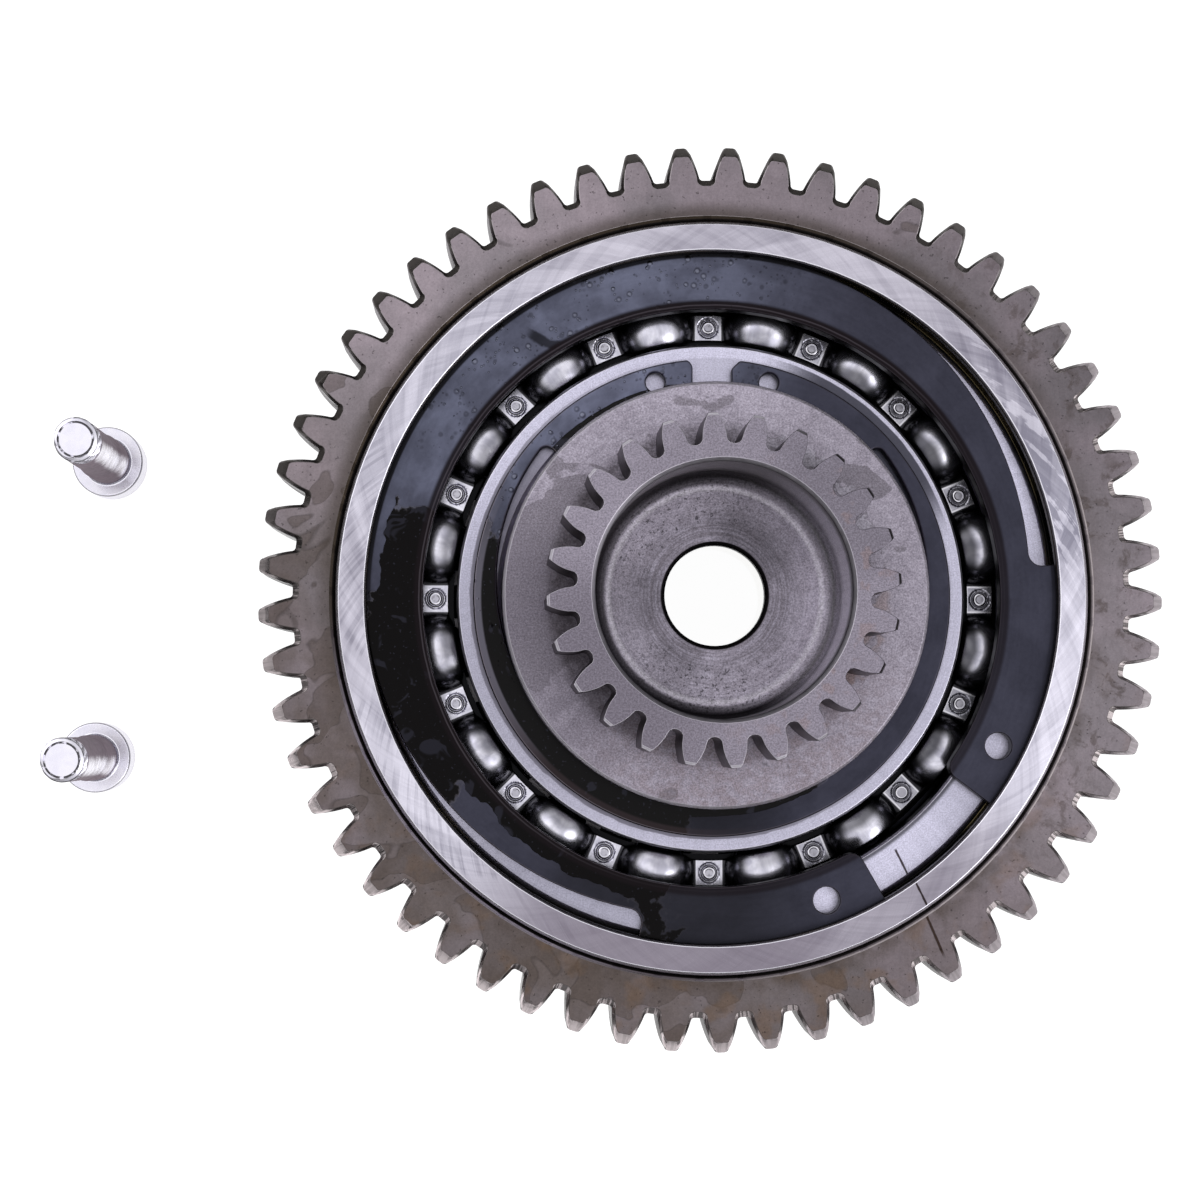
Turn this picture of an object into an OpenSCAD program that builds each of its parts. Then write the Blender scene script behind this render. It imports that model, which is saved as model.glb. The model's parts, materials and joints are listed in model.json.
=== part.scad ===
/* [Ring gear] */
// Module of the ring gear teeth
gear_module = 2; // [1.5:0.05:2.5]
// Wall of the ring gear between its bore and the roots of its teeth
gear_rim = 5.5; // [4:0.1:8]
// Face width of the ring gear
gear_width = 12; // [8:0.5:20]
// Drop of the ring gear's top face below the top of the outer race
gear_drop = 0.3; // [0:0.1:2]
// Bevel across the ends of the teeth, measured inwards
gear_tip_bevel = 1.3; // [0.5:0.1:2]
// Corner radius at the tips of the ring gear teeth
gear_tip_round = 0.55; // [0.2:0.05:0.6]
// Fillet radius at the roots of the ring gear teeth
gear_root_fillet = 0.5; // [0.3:0.05:0.7]
// Bevel at the mouths of the ring gear's bore
gear_bore_bevel = 0.7; // [0.2:0.1:1.2]
// Turn of the first ring gear tooth from +X, in degrees
gear_phase = -0.658; // [-3:0.001:3]

/* [Bearings] */
// Bore of the two ball bearings
bearing_bore = 55; // [52:1:57]
// Outside diameter of the two ball bearings
bearing_od = 90; // [89:1:94]
// Width of each ball bearing
bearing_width = 11; // [10.5:0.5:14]
// Diameter of the balls
ball_d = 7.938; // [7.5:0.001:8.1]
// Balls in each bearing
ball_count = 16; // [12:1:16]
// Height of the ring shoulders above the bottom of the ball track
shoulder_h = 1.12; // [0.8:0.02:1.4]
// Radius of the ball track as a share of the ball diameter
track_ratio = 0.52; // [0.515:0.005:0.54]
// Running clearance between a ball and each track
ball_clearance = 0.03; // [0.01:0.01:0.06]
// Bevel on the outer corners of the bearing rings
ring_bevel = 0.6; // [0.3:0.1:0.9]
// Bevel beside the ball gap on the bearing rings
land_bevel = 0.35; // [0.2:0.05:0.5]
// Turn of the first rivet from +X, in degrees
rivet_phase = 0; // [-11:0.5:11]

/* [Ball cages] */
// Sheet thickness of the ball cages
cage_sheet = 0.8; // [0.5:0.1:0.9]
// Gap between the cage and the inner ring's shoulder
cage_inner_gap = 0.45; // [0.3:0.05:0.8]
// Gap between the cage and the outer ring's shoulder
cage_outer_gap = 0.9; // [0.5:0.05:1.2]
// Clearance of a ball in its cage pocket
pocket_clearance = 0.15; // [0.08:0.01:0.2]
// Diameter of the rivet shanks
rivet_d = 1.5; // [1.2:0.1:1.6]
// Diameter of the rivet heads
rivet_head_d = 2.2; // [1.9:0.1:2.4]
// Height of the rivet heads
rivet_head_h = 0.6; // [0.4:0.1:0.8]
// Diameter of the coined ring round each rivet head
coin_d = 3.1; // [2.8:0.1:3.3]
// Depth of the coined ring
coin_depth = 0.2; // [0.1:0.05:0.3]

/* [Outer race] */
// Wall of the outer race outside the bearings
race_wall = 4; // [3.5:0.1:4.5]
// Land between the retaining ring groove and the end of the race
race_land = 1.6; // [1.2:0.1:3]
// Bevel on the outer edges of the race
race_bevel = 0.4; // [0.2:0.1:0.8]
// Bevel at the mouths of the race's bore
race_bore_bevel = 0.35; // [0.2:0.05:0.6]
// Height of the lower end of the race above the foot of the hub
race_lift = 1; // [0.5:0.1:3]

/* [Retaining rings] */
// Thickness of the bore retaining rings
bore_ring_t = 2.5; // [2:0.1:3]
// Depth of the bore retaining ring grooves
bore_groove_depth = 1.75; // [1.2:0.05:2]
// Radial reach of the bore retaining rings inside the race
bore_ring_reach = 7.3; // [6.6:0.1:7.6]
// Half of the bore retaining ring's gap, in degrees
bore_ring_half_gap = 11.8; // [6:0.1:13]
// Angle from the gap's middle to where the relief starts, in degrees
bore_ring_lug_angle = 54; // [40:1:70]
// Depth of the bore ring's relief below the race bore at the lug
bore_relief_depth = 3.2; // [2:0.1:3.6]
// Angle from the gap's middle to where the relief ends, in degrees
bore_relief_end = 120; // [100:1:140]
// Fillet radius where the bore ring's relief ends at the lug
bore_relief_fillet = 1.8; // [0.5:0.1:2]
// Diameter of the plier holes in the bore retaining rings
bore_lug_hole_d = 3.5; // [2.5:0.1:3.8]
// Angle from the gap's middle to a plier hole, in degrees
bore_lug_hole_angle = 21; // [20:0.1:30]
// Distance of the plier holes inside the race bore
bore_lug_hole_inset = 2.9; // [2.6:0.1:3.6]
// Corner radius on the lugs of the bore retaining rings
bore_lug_round = 1.8; // [0.5:0.1:2]
// Direction of the upper bore ring's gap, in degrees
bore_ring_turn = -48.5; // [-180:0.5:180]
// Thickness of the shaft retaining rings
shaft_ring_t = 2; // [1.5:0.1:2.5]
// Depth of the shaft retaining ring grooves
shaft_groove_depth = 1.5; // [1:0.05:1.6]
// Radial reach of the shaft retaining rings outside the hub
shaft_ring_reach = 3.75; // [3.5:0.05:4.3]
// Width of the shaft retaining ring's gap
shaft_ring_gap = 5.1; // [3:0.1:6]
// Angle from the gap's middle to where the relief starts, in degrees
shaft_ring_lug_angle = 47.5; // [38:0.5:60]
// Height of the shaft ring's relief above the hub at the lug
shaft_relief_depth = 2.1; // [1:0.1:2.3]
// Angle from the gap's middle to where the relief ends, in degrees
shaft_relief_end = 104; // [90:1:130]
// Fillet radius where the shaft ring's relief ends at the lug
shaft_relief_fillet = 1; // [0.4:0.1:1.2]
// Diameter of the plier holes in the shaft retaining rings
shaft_lug_hole_d = 2.5; // [2:0.1:2.6]
// Angle from the gap's middle to a plier hole, in degrees
shaft_lug_hole_angle = 14.85; // [12:0.05:20]
// Height of the plier holes above the hub
shaft_lug_hole_rise = 1.6; // [1.5:0.05:1.9]
// Corner radius on the lugs of the shaft retaining rings
shaft_lug_round = 1.2; // [0.4:0.1:1.4]
// Direction of the upper shaft ring's gap, in degrees
shaft_ring_turn = 90; // [-180:0.5:180]
// Play between a retaining ring and its groove
ring_play = 0.1; // [0.05:0.01:0.15]

/* [Sprag clutch] */
// Axial space between the two bearings
sprag_zone = 13.5; // [12:0.5:18]
// Radial height between the inner and outer sprag tracks
sprag_gap = 8.33; // [7.8:0.01:9]
// Height of the inner sprag track above the bearing seats
track_rise = 1.38; // [1:0.02:1.6]
// Number of sprags
sprag_count = 26; // [20:1:26]
// Length of the sprags
sprag_len = 10; // [8:0.5:10.5]
// Width across a sprag's head
sprag_head_w = 5.6; // [4.8:0.1:5.7]
// Width of a sprag's waist
sprag_waist_w = 3.4; // [2.8:0.1:4]
// Running clearance of the sprags on each track
sprag_clearance = 0.06; // [0.03:0.01:0.1]
// Wall of the two sprag cages
sprag_cage_wall = 0.8; // [0.6:0.1:1]
// Clearance of a sprag in its windows
window_clearance = 0.2; // [0.1:0.05:0.25]
// Thickness of the ribbon spring
ribbon_t = 0.3; // [0.2:0.05:0.5]

/* [Pinion hub] */
// Number of teeth on the pinion
pinion_teeth = 24; // [24:1:28]
// Module of the pinion teeth
pinion_module = 1.7; // [1.65:0.05:1.8]
// Height of the pinion
pinion_h = 12; // [8:0.5:20]
// Bevel across the ends of the pinion teeth
pinion_bevel = 0.35; // [0.2:0.05:0.8]
// Fillet radius at the roots of the pinion teeth
pinion_root_fillet = 0.85; // [0.5:0.05:0.9]
// Turn of the first pinion tooth from +X, in degrees
pinion_phase = 3.64; // [-7.5:0.01:7.5]
// Height of the collar above the upper shaft retaining ring
collar_h = 6.4; // [4:0.1:10]
// Bevel on the collar and the hub's foot
collar_bevel = 0.4; // [0.2:0.1:0.8]
// Bore of the counterbore in the pinion
counterbore_d = 32; // [28:0.5:32]
// Depth of the counterbore's floor below the face of the collar
counterbore_drop = 2.8; // [2.5:0.1:6]
// Fillet radius at the counterbore's floor
counterbore_fillet = 2.3; // [1:0.1:2.5]
// Diameter of the centre hole
centre_hole_d = 13; // [10:0.5:16]
// Thickness of the web round the centre hole
web_t = 10; // [6:0.5:16]
// Pilot bore in the foot of the hub
pilot_bore_d = 30; // [26:0.5:34]
// Bevel at the mouths of the hub's bores
mouth_bevel = 0.5; // [0.3:0.1:0.8]

/* [Screws] */
// Shank diameter of the screws
screw_d = 6; // [5:0.5:8]
// Shank length of the screws
screw_len = 30; // [20:1:45]
// Radial rise of the plain neck under the head over the thread
screw_neck_rise = 0.2; // [0.1:0.05:0.6]
// Length of the plain neck under the head
screw_neck_len = 8; // [4:0.5:15]
// Head diameter of the screws
screw_head_d = 10; // [9.5:0.5:13]
// Head height of the screws
screw_head_h = 6; // [5:0.5:8]
// Width across the flats of the screw sockets
screw_socket_w = 5; // [4:0.5:5.5]
// Depth of the screw sockets
screw_socket_depth = 3; // [2:0.5:4]
// Distance of the first screw to the left of the hub's axis
screw_1_left = 83.8; // [75:0.1:120]
// Distance of the first screw beyond the hub's axis
screw_1_back = 21; // [8:0.1:60]
// Distance of the second screw to the left of the hub's axis
screw_2_left = 85.2; // [75:0.1:120]
// Distance of the second screw in front of the hub's axis
screw_2_front = 21.3; // [8:0.1:60]

/* [Hidden] */
$fn = 96;

// Pressure angle of both sets of teeth, in degrees
pressure_angle = 20;
// Tooth depth above and below the pitch circle, in modules
addendum = 1;
dedendum = 1.25;
// Segments along a flank and round a tooth's corner
flank_steps = 5;
corner_steps = 3;
// Corner radius at the tips of the pinion teeth
pinion_tip_round = 0.15;
// How far a cutter runs past the face that it cuts
over = 1;
// How far a fillet's circle laps over the edges that it meets
lap = 0.005;

// Radii of the bearing seats and the pitch circle of the balls
seat_r = bearing_bore / 2;
bore_r = bearing_od / 2;
pitch_r = (seat_r + bore_r) / 2;
ball_r = ball_d / 2;
track_r = ball_d * track_ratio;
inner_land_r = pitch_r - ball_r + shoulder_h;
outer_land_r = pitch_r + ball_r - shoulder_h;

// Radii of the outer race and the teeth
race_r = bore_r + race_wall;
gear_teeth = round(2 * ((race_r + gear_rim) / gear_module + dedendum));
gear_tip_r = gear_module * (gear_teeth / 2 + addendum);
pinion_tip_r = pinion_module * (pinion_teeth / 2 + addendum);

// Tracks that the sprags wedge between
inner_track_r = seat_r + track_rise;
outer_track_r = inner_track_r + sprag_gap;

// Heights from the foot of the hub
lower_z = race_lift + race_land + bore_ring_t + ring_play;
sprag_z = lower_z + bearing_width;
upper_z = sprag_z + sprag_zone;
bearing_top_z = upper_z + bearing_width;
race_top_z = bearing_top_z + bore_ring_t + ring_play + race_land;
gear_top_z = race_top_z - gear_drop;
collar_z = bearing_top_z + shaft_ring_t + ring_play + collar_h;
pinion_top_z = collar_z + pinion_h;
floor_z = collar_z - counterbore_drop;
web_z = floor_z - web_t;
sprag_mid_z = sprag_z + sprag_zone / 2;

// Grooves for the retaining rings
shaft_groove_r = seat_r - shaft_groove_depth;
bore_groove_r = bore_r + bore_groove_depth;

// Ball cage
cage_in_r = inner_land_r + cage_inner_gap;
cage_out_r = outer_land_r - cage_outer_gap;
pocket_r = ball_r + pocket_clearance;
dome_r = pocket_r + cage_sheet;
ball_step = 360 / ball_count;

// A disc or a tube with bevelled or square ends
module tube(r_out, r_in, h) {
  difference() {
    cylinder(r = r_out, h = h);
    translate([0, 0, -over]) cylinder(r = r_in, h = h + 2 * over);
  }
}

// Involute function, and a tooth's half angle at a radius
function inv(a) = tan(a) * 180 / PI - a;
function lean(r, base) = acos(min(1, base / max(r, base)));
function half_tooth(r, z, base) = 90 / z + inv(pressure_angle) - inv(lean(r, base));
function polar(r, a) = [r * cos(a), r * sin(a)];

// Points down one side of a tooth that stands along +X, from tip to root
function tooth_side(z, m, tip_round, root_fillet) =
  let(
    base = m * z / 2 * cos(pressure_angle),
    tip_c = m * (z / 2 + addendum) - tip_round,
    root_c = m * (z / 2 - dedendum) + root_fillet,
    tip_lean = lean(tip_c, base),
    root_lean = lean(root_c, base),
    tip_y = tip_c * sin(half_tooth(tip_c, z, base)) - tip_round / cos(tip_lean),
    root_a = half_tooth(root_c, z, base) + root_fillet / cos(root_lean) / root_c * 180 / PI,
    start_r = tip_c + tip_round * sin(tip_lean),
    end_r = root_c - root_fillet * sin(root_lean)
  )
  concat(
    [for (i = [0:corner_steps])
      let(t = 90 - i / corner_steps * (90 - tip_lean))
      [tip_c + tip_round * sin(t), tip_y + tip_round * cos(t)]],
    [for (i = [1:flank_steps - 1])
      let(r = start_r + i / flank_steps * (end_r - start_r))
      polar(r, half_tooth(r, z, base))],
    [for (i = [0:corner_steps])
      let(
        t = 180 + root_lean + i / corner_steps * (90 - root_lean),
        x = root_c + root_fillet * sin(t),
        y = root_fillet * cos(t)
      )
      [x * cos(root_a) - y * sin(root_a), x * sin(root_a) + y * cos(root_a)]]
  );

// Outline of a whole toothed wheel
function turned(p, a) = [p[0] * cos(a) - p[1] * sin(a), p[0] * sin(a) + p[1] * cos(a)];
function reversed(list) = [for (i = [len(list) - 1:-1:0]) list[i]];
module toothed_wheel(z, m, tip_round, root_fillet) {
  side = tooth_side(z, m, tip_round, root_fillet);
  tooth = concat(reversed([for (p = side) [p[0], -p[1]]]), side);
  polygon([for (k = [0:z - 1]) for (p = tooth) turned(p, 360 * k / z)]);
}

// Bevelled disc that trims the ends of teeth
module tooth_trim(tip_r, h, bevel_low, bevel_high) {
  rotate_extrude() polygon([
    [0, 0], [tip_r - bevel_low, 0], [tip_r + over, bevel_low + over],
    [tip_r + over, h - bevel_high - over], [tip_r - bevel_high, h], [0, h]
  ]);
}

module ring_gear() {
  color("#75696c")
  translate([0, 0, gear_top_z - gear_width])
  difference() {
    intersection() {
      linear_extrude(gear_width) rotate(gear_phase)
        toothed_wheel(gear_teeth, gear_module, gear_tip_round, gear_root_fillet);
      tooth_trim(gear_tip_r, gear_width, gear_tip_bevel, gear_tip_bevel);
    }
    rotate_extrude() polygon([
      [0, -over], [race_r + gear_bore_bevel + over, -over], [race_r, gear_bore_bevel],
      [race_r, gear_width - gear_bore_bevel],
      [race_r + gear_bore_bevel + over, gear_width + over], [0, gear_width + over]
    ]);
  }
}

module pinion_hub() {
  color("#8b838c")
  difference() {
    union() {
      rotate_extrude() polygon([
        [0, 0], [seat_r - collar_bevel, 0], [seat_r, collar_bevel],
        [seat_r, lower_z - shaft_ring_t - ring_play], [shaft_groove_r, lower_z - shaft_ring_t - ring_play],
        [shaft_groove_r, lower_z + ring_play], [seat_r, lower_z + ring_play],
        [seat_r, sprag_z], [inner_track_r, sprag_z], [inner_track_r, upper_z], [seat_r, upper_z],
        [seat_r, bearing_top_z - ring_play], [shaft_groove_r, bearing_top_z - ring_play],
        [shaft_groove_r, bearing_top_z + shaft_ring_t + ring_play],
        [seat_r, bearing_top_z + shaft_ring_t + ring_play],
        [seat_r, collar_z - collar_bevel], [seat_r - collar_bevel, collar_z], [0, collar_z]
      ]);
      translate([0, 0, floor_z]) intersection() {
        linear_extrude(pinion_top_z - floor_z) rotate(pinion_phase)
          toothed_wheel(pinion_teeth, pinion_module, pinion_tip_round, pinion_root_fillet);
        tooth_trim(pinion_tip_r, pinion_top_z - floor_z, 0, pinion_bevel);
      }
    }
    counterbore();
    centre_hole();
    pilot_bore();
  }
}

module counterbore() {
  r = counterbore_d / 2;
  rotate_extrude() difference() {
    polygon([
      [0, floor_z], [r, floor_z], [r, pinion_top_z - mouth_bevel],
      [r + mouth_bevel + over, pinion_top_z + over], [0, pinion_top_z + over]
    ]);
    translate([r - counterbore_fillet, floor_z]) difference() {
      translate([0, -over]) square([counterbore_fillet + over, counterbore_fillet + over]);
      translate([0, counterbore_fillet]) circle(r = counterbore_fillet);
    }
  }
}

module centre_hole() {
  r = centre_hole_d / 2;
  rotate_extrude() polygon([
    [0, web_z - over], [r + mouth_bevel + over, web_z - over], [r, web_z + mouth_bevel],
    [r, floor_z - mouth_bevel], [r + mouth_bevel + over, floor_z + over], [0, floor_z + over]
  ]);
}

module pilot_bore() {
  r = pilot_bore_d / 2;
  rotate_extrude() polygon([
    [0, -over], [r + mouth_bevel + over, -over], [r, mouth_bevel],
    [r, web_z - mouth_bevel], [r - mouth_bevel, web_z], [0, web_z]
  ]);
}

module outer_race() {
  color("#dcdbe6")
  rotate_extrude() polygon([
    [race_r - race_bevel, race_lift], [race_r, race_lift + race_bevel],
    [race_r, race_top_z - race_bevel], [race_r - race_bevel, race_top_z],
    [bore_r + race_bore_bevel, race_top_z], [bore_r, race_top_z - race_bore_bevel],
    [bore_r, race_top_z - race_land], [bore_groove_r, race_top_z - race_land],
    [bore_groove_r, bearing_top_z - ring_play], [bore_r, bearing_top_z - ring_play],
    [bore_r, upper_z], [outer_track_r, upper_z], [outer_track_r, sprag_z], [bore_r, sprag_z],
    [bore_r, lower_z + ring_play], [bore_groove_r, lower_z + ring_play],
    [bore_groove_r, race_lift + race_land], [bore_r, race_lift + race_land],
    [bore_r, race_lift + race_bore_bevel], [bore_r + race_bore_bevel, race_lift]
  ]);
}

// Bearing rings, with the foot of the bearing at z = 0
module bearing_inner_ring() {
  color("#b8b4c0")
  rotate_extrude() difference() {
    polygon([
      [seat_r + ring_bevel, 0], [inner_land_r - land_bevel, 0], [inner_land_r, land_bevel],
      [inner_land_r, bearing_width - land_bevel], [inner_land_r - land_bevel, bearing_width],
      [seat_r + ring_bevel, bearing_width], [seat_r, bearing_width - ring_bevel], [seat_r, ring_bevel]
    ]);
    translate([pitch_r - ball_r - ball_clearance + track_r, bearing_width / 2]) circle(r = track_r);
  }
}

module bearing_outer_ring() {
  color("#b8b4c0")
  rotate_extrude() difference() {
    polygon([
      [outer_land_r + land_bevel, 0], [bore_r - ring_bevel, 0], [bore_r, ring_bevel],
      [bore_r, bearing_width - ring_bevel], [bore_r - ring_bevel, bearing_width],
      [outer_land_r + land_bevel, bearing_width], [outer_land_r, bearing_width - land_bevel],
      [outer_land_r, land_bevel]
    ]);
    translate([pitch_r + ball_r + ball_clearance - track_r, bearing_width / 2]) circle(r = track_r);
  }
}

// Copies its children round the pitch circle, between the rivets
module at_each_ball() {
  for (k = [0:ball_count - 1])
    rotate(rivet_phase + (k + 0.5) * ball_step) translate([pitch_r, 0, 0]) children();
}

module at_each_rivet() {
  for (k = [0:ball_count - 1])
    rotate(rivet_phase + k * ball_step) translate([pitch_r, 0, 0]) children();
}

module bearing_balls() {
  color("silver")
  translate([0, 0, bearing_width / 2]) at_each_ball() sphere(r = ball_r);
}

// Upper half of a pressed cage, with its parting face at z = 0
module cage_half() {
  color("#a8a4b0")
  difference() {
    intersection() {
      tube(cage_out_r, cage_in_r, dome_r + over);
      union() {
        cylinder(r = cage_out_r + over, h = cage_sheet);
        at_each_ball() sphere(r = dome_r);
      }
    }
    at_each_ball() sphere(r = pocket_r);
    at_each_rivet() {
      translate([0, 0, -over]) cylinder(d = rivet_d, h = cage_sheet + 2 * over);
      translate([0, 0, cage_sheet - coin_depth]) cylinder(d = coin_d, h = over);
    }
  }
}

module cage_top_half() {
  translate([0, 0, bearing_width / 2]) cage_half();
}

module cage_bottom_half() {
  translate([0, 0, bearing_width / 2]) mirror([0, 0, 1]) cage_half();
}

module cage_rivets() {
  seat = cage_sheet - coin_depth;
  tip = seat + rivet_head_h;
  neck = rivet_head_d / 2 - rivet_head_h / 2;
  color("#c4c0ca")
  translate([0, 0, bearing_width / 2]) at_each_rivet() rotate_extrude() polygon([
    [0, -tip], [neck, -tip], [rivet_head_d / 2, -seat - rivet_head_h / 2],
    [rivet_head_d / 2, -seat], [rivet_d / 2, -seat], [rivet_d / 2, seat], [rivet_head_d / 2, seat],
    [rivet_head_d / 2, seat + rivet_head_h / 2], [neck, tip], [0, tip]
  ]);
}

// Distance of a relief circle's centre, and its radius, from two radii on it
function relief_shift(r_lug, a_lug, r_end, a_end) =
  (r_lug * r_lug - r_end * r_end) / 2 / (r_lug * cos(a_lug) - r_end * cos(a_end));
function relief_radius(r, a, shift) = norm([r * cos(a) - shift, r * sin(a)]);

// Wedge of half angle a round +X
module wedge(a, r) {
  polygon([[0, 0], polar(r / cos(a / 2), -a), polar(r / cos(a / 2), -a / 2), [r, 0],
    polar(r / cos(a / 2), a / 2), polar(r / cos(a / 2), a)]);
}

// Rounds the lug corner where a radial edge at angle a meets the inner radius
module inner_corner(r, a, rho) {
  mid = a + asin(rho / (r + rho));
  difference() {
    polygon([polar(r - over, a - 1), polar((r + rho) * cos(mid - a), a),
      polar(r + rho, mid), polar(r - over, mid)]);
    translate(polar(r + rho, mid)) circle(r = rho, $fn = 48);
  }
}

// Fillet where a relief circle meets the lug's radial edge at angle a. The relief is cut outside
// its circle where outside is 1, and inside it where outside is -1
module relief_fillet(r, a, shift, relief_r, rho, outside) {
  middle = [shift, 0];
  across = rho * [-sin(a), cos(a)];
  reach = relief_r + outside * rho;
  along = shift * cos(a) + sqrt(pow(shift * cos(a), 2) - pow(norm(across - middle), 2) + reach * reach);
  centre = polar(along, a) + across;
  difference() {
    polygon([polar(r - outside * over, a - 1), polar(along, a), centre,
      middle + (centre - middle) * relief_r / reach]);
    translate(centre) circle(r = rho + lap, $fn = 48);
  }
}

// Bore retaining ring, with its gap along +X
module bore_ring() {
  r_in = bore_r - bore_ring_reach;
  r_relief = bore_r - bore_relief_depth;
  shift = relief_shift(r_relief, bore_ring_lug_angle, bore_r, bore_relief_end);
  relief_r = relief_radius(r_relief, bore_ring_lug_angle, shift);
  color("#3a3b49")
  difference() {
    linear_extrude(bore_ring_t) difference() {
      intersection() {
        circle(r = bore_groove_r - ring_play);
        union() {
          wedge(bore_ring_lug_angle, bore_groove_r);
          translate([shift, 0]) circle(r = relief_r);
          for (side = [0, 1]) mirror([0, side])
            relief_fillet(r_relief, bore_ring_lug_angle, shift, relief_r, bore_relief_fillet, 1);
        }
      }
      circle(r = r_in);
      wedge(bore_ring_half_gap, bore_groove_r + over);
      inner_corner(r_in, bore_ring_half_gap, bore_lug_round);
      mirror([0, 1]) inner_corner(r_in, bore_ring_half_gap, bore_lug_round);
    }
    for (side = [-1, 1])
      rotate(side * bore_lug_hole_angle) translate([bore_r - bore_lug_hole_inset, 0, -over])
        cylinder(d = bore_lug_hole_d, h = bore_ring_t + 2 * over);
  }
}

// Shaft retaining ring, with its gap along +X
module shaft_ring() {
  r_out = seat_r + shaft_ring_reach;
  r_relief = seat_r + shaft_relief_depth;
  shift = relief_shift(r_relief, shaft_ring_lug_angle, seat_r, shaft_relief_end);
  relief_r = relief_radius(r_relief, shaft_ring_lug_angle, shift);
  corner_x = sqrt(r_out * r_out - shaft_ring_gap * shaft_ring_gap / 4);
  color("#3c3d4c")
  difference() {
    linear_extrude(shaft_ring_t) difference() {
      circle(r = r_out);
      circle(r = shaft_groove_r + ring_play);
      difference() {
        translate([shift, 0]) circle(r = relief_r);
        wedge(shaft_ring_lug_angle, r_out);
        for (side = [0, 1]) mirror([0, side])
          relief_fillet(r_relief, shaft_ring_lug_angle, shift, relief_r, shaft_relief_fillet, -1);
      }
      translate([0, -shaft_ring_gap / 2]) square([r_out + over, shaft_ring_gap]);
      translate([corner_x - shaft_lug_round, shaft_ring_gap / 2]) difference() {
        translate([0, -over]) square(shaft_lug_round + over);
        translate([0, shaft_lug_round]) circle(r = shaft_lug_round, $fn = 48);
      }
      translate([corner_x + over, over - shaft_ring_gap / 2]) polygon([
        [0, 0], [-shaft_lug_round - 2 * over, 0], [0, -shaft_lug_round - 2 * over]
      ]);
    }
    for (side = [-1, 1])
      rotate(side * shaft_lug_hole_angle) translate([seat_r + shaft_lug_hole_rise, 0, -over])
        cylinder(d = shaft_lug_hole_d, h = shaft_ring_t + 2 * over);
  }
}

// Outline of one sprag that stands along +X, with its middle on the origin
module sprag_outline() {
  h = sprag_gap / 2 - sprag_clearance;
  cam_r = h + 0.5;
  scallop_r = sprag_gap * 0.3;
  difference() {
    intersection() {
      translate([h - cam_r, 0]) circle(r = cam_r);
      translate([cam_r - h, 0]) circle(r = cam_r);
      square([2 * h + over, sprag_head_w], center = true);
    }
    for (side = [-1, 1])
      translate([0, side * (sprag_waist_w / 2 + scallop_r)]) circle(r = scallop_r, $fn = 48);
  }
}

module at_each_sprag() {
  for (k = [0:sprag_count - 1]) rotate((k + 0.5) * 360 / sprag_count) children();
}

module sprags() {
  color("#9a98a0")
  at_each_sprag()
    translate([inner_track_r + sprag_gap / 2, 0, sprag_mid_z - sprag_len / 2])
      linear_extrude(sprag_len) sprag_outline();
}

// Ring with a window for each sprag
module windowed_ring(r_out, r_in, len, window) {
  difference() {
    translate([0, 0, sprag_mid_z - len / 2]) tube(r_out, r_in, len);
    at_each_sprag() translate([r_in - over, -window / 2, sprag_mid_z - sprag_len / 2 - window_clearance])
      cube([r_out - r_in + 2 * over, window, sprag_len + 2 * window_clearance]);
  }
}

module sprag_outer_cage() {
  r_out = outer_track_r - 2 * sprag_clearance;
  len = sprag_zone - 4 * window_clearance;
  color("#8f8d95")
  windowed_ring(r_out, r_out - sprag_cage_wall, len, sprag_head_w + 2 * window_clearance);
}

module sprag_inner_cage() {
  r_in = inner_track_r + 2 * sprag_clearance;
  len = sprag_zone - 4 * window_clearance;
  color("#8f8d95")
  windowed_ring(r_in + sprag_cage_wall, r_in, len, sprag_head_w + 2 * window_clearance);
}

module sprag_ribbon_spring() {
  mid_r = inner_track_r + sprag_gap / 2;
  len = sprag_len + 6 * window_clearance;
  color("#6f7078")
  windowed_ring(mid_r + ribbon_t / 2, mid_r - ribbon_t / 2, len, sprag_waist_w + 3 * window_clearance);
}

// Socket head cap screw standing on its head, with a plain neck below the thread
module screw() {
  edge = screw_d / 10;
  neck_r = screw_d / 2 + screw_neck_rise;
  neck_z = screw_head_h + screw_neck_len;
  color("#c9c8cf")
  difference() {
    rotate_extrude() polygon([
      [0, 0], [screw_head_d / 2 - edge, 0], [screw_head_d / 2, edge],
      [screw_head_d / 2, screw_head_h - edge / 2], [screw_head_d / 2 - edge / 2, screw_head_h],
      [neck_r + edge / 2, screw_head_h], [neck_r, screw_head_h + edge / 2],
      [neck_r, neck_z - 2 * screw_neck_rise], [screw_d / 2, neck_z],
      [screw_d / 2, screw_head_h + screw_len - edge],
      [screw_d / 2 - edge, screw_head_h + screw_len], [0, screw_head_h + screw_len]
    ]);
    translate([0, 0, -over])
      cylinder(d = screw_socket_w / cos(30), h = screw_socket_depth + over, $fn = 6);
  }
}

pinion_hub();
ring_gear();
outer_race();
translate([0, 0, upper_z]) bearing_inner_ring();  // upper_inner_ring
translate([0, 0, upper_z]) bearing_outer_ring();  // upper_outer_ring
translate([0, 0, upper_z]) bearing_balls();  // upper_balls
translate([0, 0, upper_z]) cage_top_half();  // upper_cage_top_half
translate([0, 0, upper_z]) cage_bottom_half();  // upper_cage_bottom_half
translate([0, 0, upper_z]) cage_rivets();  // upper_cage_rivets
translate([0, 0, lower_z]) bearing_inner_ring();  // lower_inner_ring
translate([0, 0, lower_z]) bearing_outer_ring();  // lower_outer_ring
translate([0, 0, lower_z]) bearing_balls();  // lower_balls
translate([0, 0, lower_z]) cage_top_half();  // lower_cage_top_half
translate([0, 0, lower_z]) cage_bottom_half();  // lower_cage_bottom_half
translate([0, 0, lower_z]) cage_rivets();  // lower_cage_rivets
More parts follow.
